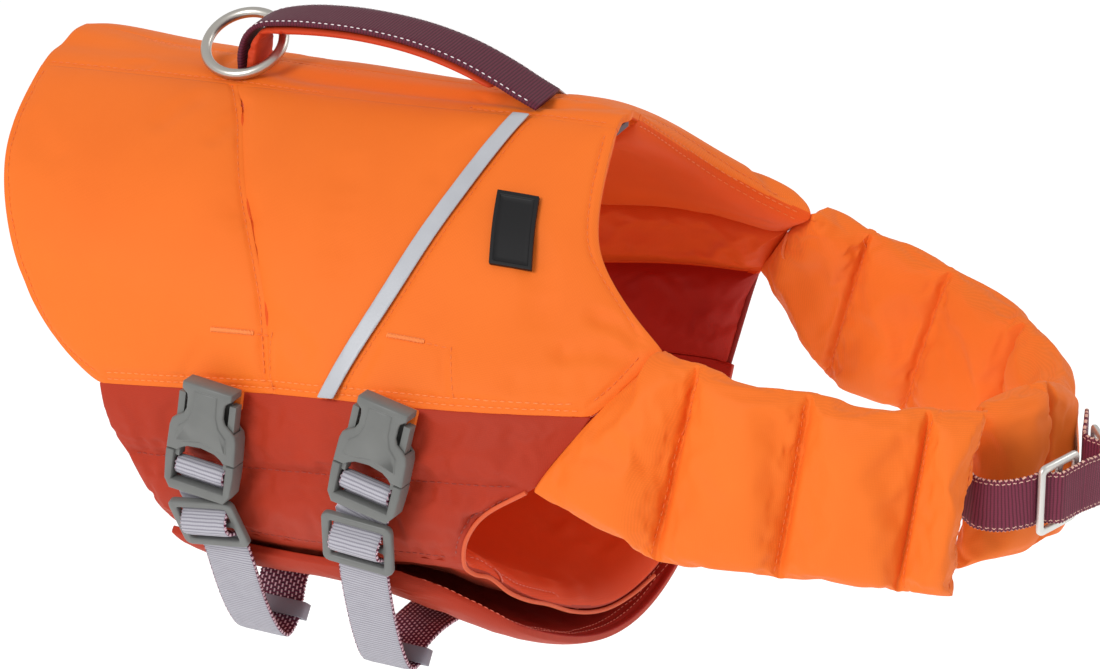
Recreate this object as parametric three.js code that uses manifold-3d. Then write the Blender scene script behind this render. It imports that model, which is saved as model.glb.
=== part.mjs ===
// A dog life jacket in its worn form, hollow: padded saddle, lower side panels, belly layers,
// a quilted collar round the front of the chest, a carry handle with a ring, and two belly straps.
// Millimetres. +X points to the dog's head, +Y to its left and +Z up. The origin is on the inside
// of the spine panel, half way along the back, where the dog's back carries the jacket.
import * as THREE from "three";
import Module from "manifold-3d";

// Driving sizes
const SEAM_GAP = 0.3; // between neighbouring pieces
const SIDE_FOAM = 11; // the foam of the saddle's sides, at its thickest
const LOWER_FOAM = 7; // the foam of the quilted lower panels
const BELLY_FOAM = 6;
const COLLAR_FILL = 15; // the collar's padding between two quilting seams
const SEAM_THICK = 3; // cloth sewn together at an edge or a quilting seam
const WEB_WIDTH = 20; // the belly straps and the collar strap
const WEB_THICK = 1.8;
const RING_RADIUS = 14.9; // the ring, to the middle of its wire
const RING_WIRE = 2;
const RING_TILT = 30; // degrees, near side down
const BUCKLE_LENGTH = 42.6;
const BUCKLE_WIDTH = 27.6;
const BUCKLE_THICK = 9;

const ORANGE = 0xf47b20;
const RUST = 0xb43a22;
const BURGUNDY = 0x54233a;
const WEB_GREY = 0xb9b7c0;
const PLASTIC_GREY = 0x7f807e;
const STRIP_GREY = 0xb4b6bb;
const STEEL = 0xb8b4ac;
const SATIN = 0xd8d6d0;
const BLACK = 0x1b1a1c;

// The body's cross-sections, at the outside of its seams: x, then half-width and height at each level.
const SECTIONS = [
  { x: -125, crease: [17, -4.5], shoulder: [54, -22], flank: [81, -50], hem: [94, -100],
    quilt: [96, -122], lower: [86, -142], under: [53, -159], keel: -166 },
  { x: -45, crease: [15, 0.5], shoulder: [57, -19], flank: [85, -47], hem: [97, -87],
    quilt: [99, -113], lower: [91, -140], under: [58, -160], keel: -171 },
  { x: 20, crease: [13.5, 3.5], shoulder: [58, -17], flank: [86, -44], hem: [101, -76],
    quilt: [103, -106], lower: [93, -139], under: [60, -163], keel: -177 },
  { x: 95, crease: [11, 8], shoulder: [50, -18], flank: [77, -43], hem: [102, -67],
    quilt: [106, -94], lower: [97, -130], under: [66, -172], keel: -190 },
  { x: 165, crease: [11, 8], shoulder: [42, -22], flank: [67, -46], hem: [83, -64],
    quilt: [99, -88], lower: [94, -130], under: [62, -176], keel: -194 },
];
const LEVELS = ["spine", "crease", "shoulder", "flank", "hem", "quilt", "lower", "under", "keel"];
const [SPINE, CREASE, SHOULDER, FLANK, HEM, QUILT, LOWER, UNDER, KEEL] = LEVELS.keys();
const CROWN = 2; // how far the spine panel rises above its creases, away from the handle
const UNDER_HANDLE = -2; // and under the handle, where it has sunk

// Where the cloth ends, front and rear, along the levels. A row with corner set is a sharp corner.
const REAR_EDGE = [
  { level: SPINE, x: -121 }, { level: CREASE, x: -120 }, { level: SHOULDER, x: -114 },
  { level: FLANK, x: -96 }, { level: FLANK + 0.5, x: -80 }, { level: HEM, x: -54, corner: true },
  { level: QUILT - 0.35, x: -48 }, { level: QUILT, x: -42, corner: true }, { level: LOWER, x: -30 },
  { level: UNDER, x: -22 }, { level: KEEL, x: -20 },
];
const NECK_EDGE = [
  { level: SPINE, x: 114 }, { level: CREASE, x: 113 }, { level: SHOULDER, x: 122 },
  { level: FLANK - 0.5, x: 137 }, { level: FLANK, x: 157, corner: true }, { level: HEM, x: 140 },
  { level: QUILT, x: 123, corner: true },
];
const RIGHT_LEG_EDGE = [
  { level: QUILT, x: 123, corner: true }, { level: QUILT + 0.4, x: 103 }, { level: LOWER, x: 93 },
  { level: UNDER, x: 101 }, { level: KEEL, x: 103 },
];
const LEFT_LEG_EDGE = [
  { level: QUILT, x: 123, corner: true }, { level: QUILT + 0.4, x: 117 }, { level: LOWER, x: 113 },
  { level: UNDER, x: 105 }, { level: KEEL, x: 103 },
];
// The seams that divide the saddle's side: the upright one and the one under the reflective strip.
const UPRIGHT_SEAM = [
  { level: CREASE, x: -38 }, { level: SHOULDER, x: -12 }, { level: FLANK, x: 10 }, { level: HEM, x: 20.5 },
];
const STRIP_SEAM = [
  { level: CREASE, x: 77 }, { level: SHOULDER, x: 65 }, { level: FLANK, x: 55 }, { level: HEM, x: 43 },
];

// The collar's edges at its quilting seams. Its first row is the body's own front edge.
const RIGHT_COLLAR = [
  { top: [176, -78, -43], bottom: [168, -98, -111] },
  { top: [217, -77, -46], bottom: [211, -90, -112] },
  { top: [257, -69, -47], bottom: [251, -80, -113] },
  { top: [275, -63, -47], bottom: [269, -74, -114] },
];
const LEFT_COLLAR = [
  { top: [177, 78, -55], bottom: [156, 94, -125] },
  { top: [212, 71, -61], bottom: [191, 83, -128] },
  { top: [249, 50, -66], bottom: [234, 61, -131] },
  { top: [275, 14, -70], bottom: [266, 22, -128] },
  { top: [279, -19, -54], bottom: [280, -26, -114] },
  { top: [265, -43, -56], bottom: [262, -53, -115] },
];

// Small mathematics
const lerp = (a, b, t) => a + (b - a) * t;
const clamp01 = (t) => Math.min(1, Math.max(0, t));
const ease = (t) => clamp01(t) ** 2 * (3 - 2 * clamp01(t));
const range = (a, b, n) => Array.from({ length: n + 1 }, (_, i) => lerp(a, b, i / n));

// A smooth curve through values at uneven keys, broken at the rows marked as corners.
function through(keys, values, at, corners = []) {
  let i = 0;
  while (i < keys.length - 2 && at > keys[i + 1]) i++;
  const span = keys[i + 1] - keys[i];
  const t = (at - keys[i]) / span;
  const chord = (values[i + 1] - values[i]) / span;
  const slope = (k) => (values[k + 1] - values[k - 1]) / (keys[k + 1] - keys[k - 1]);
  const m0 = i > 0 && !corners[i] ? slope(i) : chord;
  const m1 = i + 2 < keys.length && !corners[i + 1] ? slope(i + 1) : chord;
  const t2 = t * t;
  const t3 = t2 * t;
  const bend = (t3 - 2 * t2 + t) * m0 + (t3 - t2) * m1;
  return (2 * t3 - 3 * t2 + 1) * values[i] + (3 * t2 - 2 * t3) * values[i + 1] + bend * span;
}

const edgeX = (table, level) =>
  through(table.map((r) => r.level), table.map((r) => r.x), level, table.map((r) => r.corner));

// The cloth isn't quite the same on both sides: the left of the neck sags, the spine's left rear
// corner stands up, and the front of the belly hangs lower on its left.
const NECK_SAG = 3;
const REAR_LIFT = 4.5;
const BELLY_TILT = 14;
function sag(x, level, side, y) {
  const left = clamp01((side * y) / 14);
  const neck = NECK_SAG * left * ease((x - 85) / 30) * ease(FLANK + 0.6 - level);
  const rear = REAR_LIFT * left * ease((-70 - x) / 50) * ease(SHOULDER + 0.2 - level);
  const tilt = Math.max(-1.3, Math.min(1.3, (side * y) / 40));
  const belly = (BELLY_TILT * tilt + 3) * ease((x + 10) / 100) * ease((level - LOWER) / 0.7);
  return neck - rear + belly;
}

// A point of the body's outside at a station, a level and a side: -1 is the right, +1 the left.
const STATIONS = SECTIONS.map((s) => s.x);
function bodyPoint(x, level, side) {
  const column = (pick) => through(STATIONS, SECTIONS.map(pick), x);
  const widths = [0];
  const crown = lerp(CROWN, UNDER_HANDLE, ease((x + 45) / 30) * ease((105 - x) / 30));
  const heights = [column((s) => s.crease[1]) + crown];
  for (const name of LEVELS.slice(1, -1)) {
    widths.push(column((s) => s[name][0]));
    heights.push(column((s) => s[name][1]));
  }
  widths.push(0);
  heights.push(column((s) => s.keel));
  // The section goes on past the spine and the keel as its own mirror image.
  const keys = [-1, ...LEVELS.keys(), KEEL + 1];
  const y = through(keys, [-widths[1], ...widths, -widths[UNDER]], level);
  const z = through(keys, [heights[1], ...heights, heights[UNDER]], level);
  return new THREE.Vector3(x, side * y, z - sag(x, level, side, y));
}

// A point at a distance outside that surface.
const bodyAxis = (p) => new THREE.Vector3(p.x, 0, -85);
function beside(x, level, side, distance) {
  const p = bodyPoint(x, level, side);
  const along = bodyPoint(x + 0.5, level, side).sub(bodyPoint(x - 0.5, level, side));
  const around = bodyPoint(x, level + 0.02, side).sub(bodyPoint(x, level - 0.02, side));
  const normal = along.cross(around).normalize();
  if (normal.dot(p.clone().sub(bodyAxis(p))) < 0) normal.negate();
  return p.addScaledVector(normal, distance);
}

// A closed wall: a grid of points on the outside, the same grid on the inside, and a rim between.
// surface(u, v) is the seam surface, away(p) a point that the outside faces away from, and
// offsets(u, v) the outer and inner distances from the seam surface, both along its normal.
function wall(uStops, vStops, surface, away, offsets) {
  const step = 1e-3;
  const du = uStops[uStops.length - 1] - uStops[0];
  const dv = vStops[vStops.length - 1] - vStops[0];
  const outer = [];
  const inner = [];
  for (const v of vStops) {
    for (const u of uStops) {
      const p = surface(u, v);
      const alongU = surface(u + step * du, v).sub(surface(u - step * du, v));
      const alongV = surface(u, v + step * dv).sub(surface(u, v - step * dv));
      const normal = alongU.cross(alongV).normalize();
      if (normal.dot(p.clone().sub(away(p))) < 0) normal.negate();
      const [out, into] = offsets(u, v);
      outer.push(p.clone().addScaledVector(normal, out));
      inner.push(p.clone().addScaledVector(normal, into));
    }
  }
  const columns = uStops.length;
  const rows = vStops.length;
  const quads = [];
  for (let r = 0; r + 1 < rows; r++) {
    for (let c = 0; c + 1 < columns; c++) {
      const a = r * columns + c;
      const q = [a, a + 1, a + 1 + columns, a + columns];
      quads.push(q.map((k) => outer[k]));
      quads.push(q.map((k) => inner[k]).reverse());
    }
  }
  const rim = [];
  for (let c = 0; c < columns; c++) rim.push(c);
  for (let r = 1; r < rows; r++) rim.push(r * columns + columns - 1);
  for (let c = columns - 2; c >= 0; c--) rim.push((rows - 1) * columns + c);
  for (let r = rows - 2; r > 0; r--) rim.push(r * columns);
  rim.forEach((a, i) => {
    const b = rim[(i + 1) % rim.length];
    quads.push([outer[b], outer[a], inner[a], inner[b]]);
  });
  return solidFromQuads(quads);
}

// Triangles from quads of points, turned inside out if they enclose a negative volume.
function solidFromQuads(quads) {
  const triangles = quads.flatMap(([a, b, c, d]) => [[a, b, c], [a, c, d]]);
  const volume = triangles.reduce((sum, [a, b, c]) => sum + a.dot(b.clone().cross(c)), 0);
  const turned = volume < 0 ? triangles.map((t) => [...t].reverse()) : triangles;
  const positions = turned.flat().flatMap((p) => p.toArray());
  const geometry = new THREE.BufferGeometry();
  geometry.setAttribute("position", new THREE.Float32BufferAttribute(positions, 3));
  geometry.computeVertexNormals();
  return geometry;
}

// A ribbon of rectangular section through stops. A stop is a point, the direction of the ribbon's
// width there, its width and its thickness.
const v3 = (x, y, z) => new THREE.Vector3(x, y, z);
function ribbon(stops, perStop) {
  const curve = new THREE.CatmullRomCurve3(stops.map((s) => s.at), false, "centripetal");
  const keys = stops.map((_, i) => i);
  const blend = (pick, k) => through(keys, stops.map(pick), k);
  const rings = range(0, 1, (stops.length - 1) * perStop).map((t) => {
    const k = t * (stops.length - 1);
    const across = v3(...["x", "y", "z"].map((axis) => blend((s) => s.across[axis], k))).normalize();
    const p = curve.getPoint(t);
    const normal = curve.getTangent(t).cross(across).normalize();
    const side = normal.clone().cross(curve.getTangent(t)).normalize();
    const [w, n] = [blend((s) => s.width, k) / 2, blend((s) => s.thick, k) / 2];
    const corner = (i, j) => p.clone().addScaledVector(side, i * w).addScaledVector(normal, j * n);
    return [corner(-1, -1), corner(1, -1), corner(1, 1), corner(-1, 1)];
  });
  const quads = [rings[0], [...rings[rings.length - 1]].reverse()];
  for (let i = 0; i + 1 < rings.length; i++) {
    for (let k = 0; k < 4; k++) {
      const n = (k + 1) % 4;
      quads.push([rings[i][n], rings[i][k], rings[i + 1][k], rings[i + 1][n]]);
    }
  }
  return solidFromQuads(quads);
}

// A flat plate from an outline and holes in x and y, its thickness centred on z = 0.
function plate(outline, holes, thick, bevel, zCentre = 0) {
  const toShape = (Kind, points) => new Kind(points.map(([x, y]) => new THREE.Vector2(x, y)));
  const shape = toShape(THREE.Shape, outline);
  shape.holes = holes.map((h) => toShape(THREE.Path, h));
  const geometry = new THREE.ExtrudeGeometry(shape, {
    depth: thick - 2 * bevel, bevelEnabled: bevel > 0, bevelThickness: bevel, bevelSize: bevel,
    bevelOffset: -bevel, bevelSegments: 2, curveSegments: 4,
  });
  return geometry.translate(0, 0, zCentre - thick / 2 + bevel);
}
function roundedBox(halfX, yTop, yLow, radius) {
  const corner = (cx, cy, from) =>
    [0, 30, 60, 90].map((d) => {
      const angle = ((from + d) * Math.PI) / 180;
      return [cx + radius * Math.cos(angle), cy + radius * Math.sin(angle)];
    });
  return [
    ...corner(halfX - radius, yTop - radius, 0), ...corner(-halfX + radius, yTop - radius, 90),
    ...corner(-halfX + radius, yLow + radius, 180), ...corner(halfX - radius, yLow + radius, 270),
  ];
}

// A place for a rigid piece: its origin, its upward axis and roughly its x axis. z faces outward.
function place(origin, up, across) {
  const y = v3(...up).normalize();
  const z = v3(...across).cross(y).normalize();
  return new THREE.Matrix4().makeBasis(y.clone().cross(z), y, z).setPosition(...origin);
}

// Unions and differences of closed solids.
const manifold = await Module();
manifold.setup();
const { Manifold, Mesh } = manifold;
function toManifold(geometry) {
  const positions = geometry.getAttribute("position");
  const places = new Map();
  const vertices = [];
  const index = [];
  for (let i = 0; i < positions.count; i++) {
    const exact = [positions.getX(i), positions.getY(i), positions.getZ(i)];
    const p = exact.map((c) => Math.round(c * 1e4) / 1e4 + 0);
    const key = p.join();
    if (!places.has(key)) {
      places.set(key, vertices.length / 3);
      vertices.push(...p);
    }
    index.push(places.get(key));
  }
  return new Manifold(new Mesh({
    numProp: 3, vertProperties: Float32Array.from(vertices), triVerts: Uint32Array.from(index),
  }));
}
function toGeometry(solid) {
  const mesh = solid.getMesh();
  const geometry = new THREE.BufferGeometry();
  geometry.setAttribute("position", new THREE.Float32BufferAttribute(mesh.vertProperties, 3));
  geometry.setIndex(Array.from(mesh.triVerts));
  const flat = geometry.toNonIndexed();
  flat.computeVertexNormals();
  return flat;
}
const box = (x0, x1, y0, y1, z0, z1) =>
  Manifold.cube([x1 - x0, y1 - y0, z1 - z0]).translate([x0, y0, z0]);

const root = new THREE.Group();
function add(name, geometry, colour, roughness = 0.8, metalness = 0, parent = root) {
  const material = new THREE.MeshStandardMaterial({ color: colour, roughness, metalness });
  const mesh = new THREE.Mesh(geometry, material);
  mesh.name = name;
  parent.add(mesh);
  return mesh;
}

// 0 on a cut edge or a seam, 1 well inside the padding.
const swell = (distance, reach) => Math.sqrt(1 - (1 - clamp01(distance / reach)) ** 2);

// The saddle. Each side has a rear, a middle and a front piece over foam, and the spine is single cloth.
function sidePiece(side, rearTable, frontTable, rearGap, frontGap, puff) {
  const halfGap = SEAM_GAP / 2;
  const surface = (u, v) => {
    const rear = edgeX(rearTable, v) + rearGap * halfGap;
    const front = edgeX(frontTable, v) - frontGap * halfGap;
    return bodyPoint(lerp(rear, front, u), v, side);
  };
  const offsets = (u, v) => {
    const length = edgeX(frontTable, v) - edgeX(rearTable, v);
    const fromEnds = Math.min(u, 1 - u) * length;
    const fromHem = Math.min(v - CREASE, HEM - v) * 40;
    const full = swell(Math.min(fromEnds, fromHem), 16);
    const out = lerp(2, puff, ease(v - CREASE) * ease(2 * u));
    return [out * full, -SEAM_THICK - (SIDE_FOAM + 2.5 - out) * full];
  };
  const inset = SEAM_GAP / 80;
  const vStops = [CREASE + inset, 1.15, 1.4, 1.7, 2, 2.25, 2.5, 2.75, FLANK, 3.3, 3.6, 3.85, HEM - inset];
  const uStops = [0, 0.05, 0.15, ...range(0.3, 0.7, 3), 0.85, 0.95, 1];
  return wall(uStops, vStops, surface, bodyAxis, offsets);
}
for (const [name, side, middlePuff, frontPuff] of [["right", -1, 2.5, 2.5], ["left", 1, 0.8, 8]]) {
  add(name + "_side_rear", sidePiece(side, REAR_EDGE, UPRIGHT_SEAM, 0, 1, 2.5), ORANGE);
  add(name + "_side_middle", sidePiece(side, UPRIGHT_SEAM, STRIP_SEAM, 1, 1, middlePuff), ORANGE);
  add(name + "_side_front", sidePiece(side, STRIP_SEAM, NECK_EDGE, 1, 0, frontPuff), ORANGE);
}

// The spine panel runs between the two creases, from the rear hem to the neck edge.
const spineSurface = (u, v) => {
  const level = Math.abs(v) * CREASE;
  const x = lerp(edgeX(REAR_EDGE, level), edgeX(NECK_EDGE, level), u);
  return bodyPoint(x, level * (1 - SEAM_GAP / 30), v < 0 ? -1 : 1);
};
const spineWall = wall(range(0, 1, 20), range(-1, 1, 6), spineSurface, bodyAxis, () => [0, -SEAM_THICK]);
add("spine_panel", spineWall, ORANGE);

// The lower side panels hang from the saddle's hem. A quilting seam runs along each.
function lowerPanel(side, legTable) {
  const inset = SEAM_GAP / 64;
  const surface = (u, v) => {
    const frontTable = v < QUILT ? NECK_EDGE : legTable;
    const rear = edgeX(REAR_EDGE, v);
    return bodyPoint(lerp(rear, edgeX(frontTable, v), u), v, side);
  };
  const offsets = (u, v) => {
    const length = edgeX(legTable, Math.max(v, QUILT)) - edgeX(REAR_EDGE, v);
    const fromEnds = Math.min(u, 1 - u) * length;
    const fromRows = Math.min(v - HEM, Math.abs(v - QUILT), LOWER - v) * 32;
    const full = swell(Math.min(fromEnds, fromRows), 12);
    return [2 * full - 1, -SEAM_THICK - LOWER_FOAM * full];
  };
  const vStops = [HEM + inset, 4.15, 4.35, 4.65, 4.88, QUILT, 5.12, 5.35, 5.65, 5.85, LOWER - inset];
  const uStops = [0, 0.03, 0.08, ...range(0.15, 0.85, 11), 0.92, 0.97, 1];
  return wall(uStops, vStops, surface, bodyAxis, offsets);
}
add("right_lower_panel", lowerPanel(-1, RIGHT_LEG_EDGE), RUST);
add("left_lower_panel", lowerPanel(1, LEFT_LEG_EDGE), RUST);

// The belly has two layers. v runs under the dog from the right (-1) to the left (+1).
const underLevel = (v) => KEEL - Math.abs(v) * (KEEL - LOWER);
function bellyPoint(rearAdd, frontAdd, u, v) {
  const level = underLevel(v);
  const legTable = v < 0 ? RIGHT_LEG_EDGE : LEFT_LEG_EDGE;
  const rear = edgeX(REAR_EDGE, level) + rearAdd;
  const front = edgeX(legTable, level) + frontAdd(v);
  return bodyPoint(lerp(rear, front, u), level, v < 0 ? -1 : 1);
}
const bellyEdge = (u, length, v, low, high) =>
  swell(Math.min(Math.min(u, 1 - u) * length, Math.min(v - low, high - v) * 80), 12);

// The inner layer carries on from the right lower panel and tucks in on the left.
const INNER_END = 0.62;
const innerSurface = (u, v) => bellyPoint(0, () => 0, u, v);
const innerOffsets = (u, v) => {
  const fade = ease((u - 0.75) / 0.25) * ease((v + 1) / 0.3) * ease((INNER_END - v) / 0.3);
  const wave = 1.6 * Math.sin(11 * v) * fade;
  const full = bellyEdge(u, 120, v, -1, INNER_END);
  return [wave - 2 * Math.max(0, wave) - 0.3, wave - SEAM_THICK - BELLY_FOAM * full];
};
const innerStops = [-1 + SEAM_GAP / 70, -0.9, -0.75, -0.5, -0.25, 0, 0.2, 0.4, 0.54, INNER_END];
const bellyColumns = [0, 0.04, 0.12, ...range(0.25, 0.75, 5), 0.88, 0.96, 1];
add("inner_belly", wall(bellyColumns, innerStops, innerSurface, bodyAxis, innerOffsets), RUST);

// The outer flap comes from the left lower panel, passes under the inner layer, and is cut away
// at its right front corner. It steps out once it has left its seam.
const FLAP_END = -0.93;
const FRONT_HANG = 8;
const flapCut = (v) => 3 - 42 * clamp01((-v - 0.45) / 0.48) ** 1.6;
const flapSurface = (u, v) => bellyPoint(0, flapCut, u, v);
const flapOffsets = (u, v) => {
  const step = 1 - clamp01((v - 0.66) / 0.3);
  const full = bellyEdge(u, 120, v, FLAP_END, 1);
  const hang = FRONT_HANG * ease((u - 0.35) / 0.65) * ease((v + 1) / 0.5) * ease((0.75 - v) / 0.5);
  const middle = lerp(-SEAM_THICK, 1.2, ease(step)) + hang;
  return [middle + SEAM_THICK - 0.3 + 3.5 * full, middle];
};
const flapStops = [
  FLAP_END, -0.86, -0.72, -0.5, -0.25, 0, 0.25, 0.45, 0.62, 0.7, 0.8, 0.9, 1 - SEAM_GAP / 70,
];
add("outer_belly", wall(bellyColumns, flapStops, flapSurface, bodyAxis, flapOffsets), RUST);

// How far outside the body's surface a strap's middle runs under the flap.
function strapRise(x, v) {
  const front = edgeX(v < 0 ? RIGHT_LEG_EDGE : LEFT_LEG_EDGE, underLevel(v)) + flapCut(v);
  const rear = edgeX(REAR_EDGE, underLevel(v));
  return flapOffsets((x - rear) / (front - rear), v)[0] + WEB_THICK / 2 + 0.8;
}

// The collar's two arms leave the body's front edge and meet at the chest, right over left.
const COLLAR_GAP = 1.4; // along x, because the seam runs askew
function collarArm(side, rows, seamThick, outward) {
  const edges = rows.map((r) => [new THREE.Vector3(...r.top), new THREE.Vector3(...r.bottom)]);
  const first = (v) => {
    const level = lerp(FLANK, QUILT, v);
    return bodyPoint(edgeX(NECK_EDGE, level) + COLLAR_GAP, level, side);
  };
  const keys = range(0, rows.length, rows.length);
  const surface = (u, v) => {
    const start = first(clamp01(v));
    const points = [start, ...edges.map(([top, bottom]) => top.clone().lerp(bottom, v))];
    const value = (axis) => through(keys, points.map((p) => p[axis]), u);
    return new THREE.Vector3(value("x"), value("y"), value("z"));
  };
  const offsets = (u, v) => {
    const seam = Math.abs(u - Math.round(u)) * 45;
    const along = swell(seam, 12);
    const across = swell(Math.min(v, 1 - v) * 72, 16);
    const fill = COLLAR_FILL * along * across;
    const out = u < 0.5 ? clamp01(u * 4) : 1;
    const half = seamThick / 2;
    return [half + outward * fill * out - (1 - out), -half - (1 - outward) * fill - (1 - out)];
  };
  const parts = [0, 0.07, 0.22, 0.5, 0.78, 0.93];
  const uStops = [...keys.slice(0, -1).flatMap((k) => parts.map((p) => k + p)), rows.length];
  const vStops = [0, 0.05, 0.14, 0.32, 0.5, 0.68, 0.86, 0.95, 1];
  const middle = (p) => new THREE.Vector3(Math.min(p.x, 225), 0, p.z);
  return wall(uStops, vStops, surface, middle, offsets);
}
add("right_collar", collarArm(-1, RIGHT_COLLAR, SEAM_THICK, 0.6), ORANGE);
add("left_collar", collarArm(1, LEFT_COLLAR, SEAM_THICK, 0.5), ORANGE);

// Reflective strips lie over the seams in front of the saddle's middle.
const STRIP_WIDTH = 6.5;
for (const [name, side] of [["right", -1], ["left", 1]]) {
  const surface = (u, v) => bodyPoint(edgeX(STRIP_SEAM, v) + (u - 0.5) * STRIP_WIDTH, v, side);
  const stops = range(CREASE + 0.02, HEM - 0.02, 12);
  add(name + "_strip", wall([0, 0.5, 1], stops, surface, bodyAxis, () => [2.5, 1.8]), STRIP_GREY, 0.4);
}

// The patch: rubber with a raised rim, laid on the right side's padding.
const PATCH = { x: 93.2, level: 2.1, across: 15.5, along: 27, lean: -0.25 };
{
  const levelPerMm = 1 / 40;
  const surface = (u, v) => {
    const x = PATCH.x + (u - 0.5) * PATCH.across - (v - 0.5) * PATCH.along * PATCH.lean;
    const level = PATCH.level + (v - 0.5) * PATCH.along * levelPerMm;
    return bodyPoint(x, level, -1);
  };
  const rim = (u, v) => Math.min(Math.min(u, 1 - u) * PATCH.across, Math.min(v, 1 - v) * PATCH.along);
  const offsets = (u, v) => [rim(u, v) < 1.3 ? 4.6 : 4.1, 2.8];
  const uStops = [0, 0.05, 0.08, 0.1, 0.5, 0.9, 0.92, 0.95, 1];
  const vStops = [0, 0.03, 0.045, 0.06, 0.3, 0.5, 0.7, 0.94, 0.955, 0.97, 1];
  add("patch", wall(uStops, vStops, surface, bodyAxis, offsets), BLACK, 0.6);
}

// The handle: webbing over a padded roll, from the middle of the back to the front of the saddle.
const HANDLE_TOP = [
  [-41.5, 3.6], [-41.5, 10], [-39.6, 17], [-34, 22.8], [-23, 26.4], [-6, 28.7], [12, 29.3], [32, 27.8],
  [50, 23.9], [65, 18.3], [74, 14.2], [81.5, 11.1],
];
const HANDLE_HALF = [8.2, 8.2, 7.5, 7.6, 9.6, 10.4, 10.4, 10.4, 10.4, 10.4, 10.2, 10];
const PAD_THICK = [3.2, 3, 2.4, 2.4, 3.6, 3.6, 3.6, 3.6, 3.4, 2.6];
function handleLayer(from, thick) {
  return HANDLE_TOP.slice(0, thick.length).map(([x, z], i) => {
    const a = HANDLE_TOP[Math.max(0, i - 1)];
    const b = HANDLE_TOP[Math.min(HANDLE_TOP.length - 1, i + 1)];
    const inward = v3(b[1] - a[1], 0, a[0] - b[0]).normalize();
    const t = thick[i];
    const at = v3(x, 0, z).addScaledVector(inward, from + t / 2);
    return { at, across: v3(0, 1, 0), width: 2 * HANDLE_HALF[i], thick: t };
  });
}
add("handle_strap", ribbon(handleLayer(0, HANDLE_TOP.map(() => 2.2)), 3), BURGUNDY);
add("handle_pad", ribbon(handleLayer(2.2 + SEAM_GAP, PAD_THICK), 3), RUST);

// The ring hangs round the handle's rear end and can swing about the line from rear to front.
const RING_CENTRE = [-42.3, 0, 11.3];
const ring = new THREE.TorusGeometry(RING_RADIUS, RING_WIRE, 10, 48);
ring.rotateX((RING_TILT * Math.PI) / 180);
ring.translate(...RING_CENTRE);
add("ring", ring, STEEL, 0.35, 1);

// A side-release buckle in its own frame: x across, y up and z outward. The origin is the middle of
// its upper edge. The upper half is a sleeve, and the lower half's two arms latch in it.
function mirrored(half) {
  return [...half, ...half.filter(([x]) => x > 0).map(([x, y]) => [-x, y]).reverse()];
}
const HALF_WIDTH = BUCKLE_WIDTH / 2;
const SPLIT = -27.2; // where the sleeve ends
function buckleSleeve() {
  const outline = mirrored([
    [0, 0], [10, 0], [10, -2.6], [7.8, -4.4], [7.5, -6], [7.5, -10], [8.4, -12], [11, -13.8],
    [HALF_WIDTH - 1, -15.4], [HALF_WIDTH - 0.3, -18], [HALF_WIDTH, SPLIT], [9.2, SPLIT],
    [8, SPLIT + 1.2], [5.5, SPLIT + 2.6], [0, SPLIT + 3.4],
  ]);
  const raised = mirrored([
    [0, -2.2], [4.6, -2.2], [4.9, -10], [6.3, -14], [9.6, -17.2], [10.4, -23], [6.5, -22.8], [0, -21.2],
  ]);
  const body = toManifold(plate(outline, [], BUCKLE_THICK - 0.6, 0.9, -0.3));
  const shield = toManifold(plate(raised, [], 2, 0.6, BUCKLE_THICK / 2 - 1));
  const hollow = box(-12, 12, SPLIT - 1, -3.4, -2.7, 2.7);
  return toGeometry(body.add(shield).subtract(hollow));
}
function buckleFrame() {
  const low = -BUCKLE_LENGTH;
  const outline = mirrored([
    [0, low + 3.7], [10.5, low + 3.7], [10.5, SPLIT - 0.3], [HALF_WIDTH, SPLIT - 0.3],
    [HALF_WIDTH, SPLIT - 4], [HALF_WIDTH - 0.5, low + 3.4], [HALF_WIDTH - 2.8, low], [0, low],
  ]);
  const frame = toManifold(plate(outline, [], BUCKLE_THICK - 0.6, 0.8, -0.3));
  const behind = box(-10.5, 10.5, low - 1, low + 7, -BUCKLE_THICK, -1.2);
  const crossbar = box(-11, 11, -34.6, -32.4, -1.2, 1.2);
  const arm = (s) => box(...[s * 8.9, s * 11.5].sort((a, b) => a - b), SPLIT - 2.6, -4.8, -2.2, 2.2);
  return toGeometry(frame.subtract(behind).add(crossbar).add(arm(1)).add(arm(-1)));
}

// A three-bar slider in the same frame.
const GLIDE_HIGH = 21.5;
function glide(width, high, side, bar, slot, thick, bevel) {
  const halfSlot = width / 2 - side;
  const upper = roundedBox(halfSlot, -bar, -bar - slot, 0.8);
  const lower = roundedBox(halfSlot, -high + bar + slot, -high + bar, 0.8);
  return plate(roundedBox(width / 2, 0, -high, 2.6), [upper, lower], thick, bevel);
}

// Each belly strap is one length of webbing: round the buckle's crossbar, through the slider, down in
// a loose loop and under the belly to the left side's hem.
const alongX = v3(1, 0, 0);
const BELLY_STRAPS = [
  {
    name: "rear", x: -1, hem: [1, -109.9, -72.4], up: [4.7, 3.1, 43], glideTop: [-4.6, -112.2, -118.3],
    glideUp: [-4, -7, 19.6], from: -0.42,
    loop: [
      [0.4, -98.5, -148], [-0.6, -90.5, -164], [-0.4, -82, -180], [0, -73.5, -188.8], [0, -66, -186.5],
      [-0.5, -61, -180.5],
    ],
  },
  {
    name: "front", x: 58, hem: [72, -112.5, -63.7], up: [8.8, 4.1, 43], glideTop: [60.8, -115.6, -110],
    glideUp: [1.5, -4, 21.6], from: -0.27,
    loop: [
      [58.5, -105, -142], [57.6, -99, -158], [57.4, -93, -173], [57.5, -86.5, -183], [57.8, -80.5, -184],
      [58, -77, -179.5],
    ],
  },
];
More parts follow.
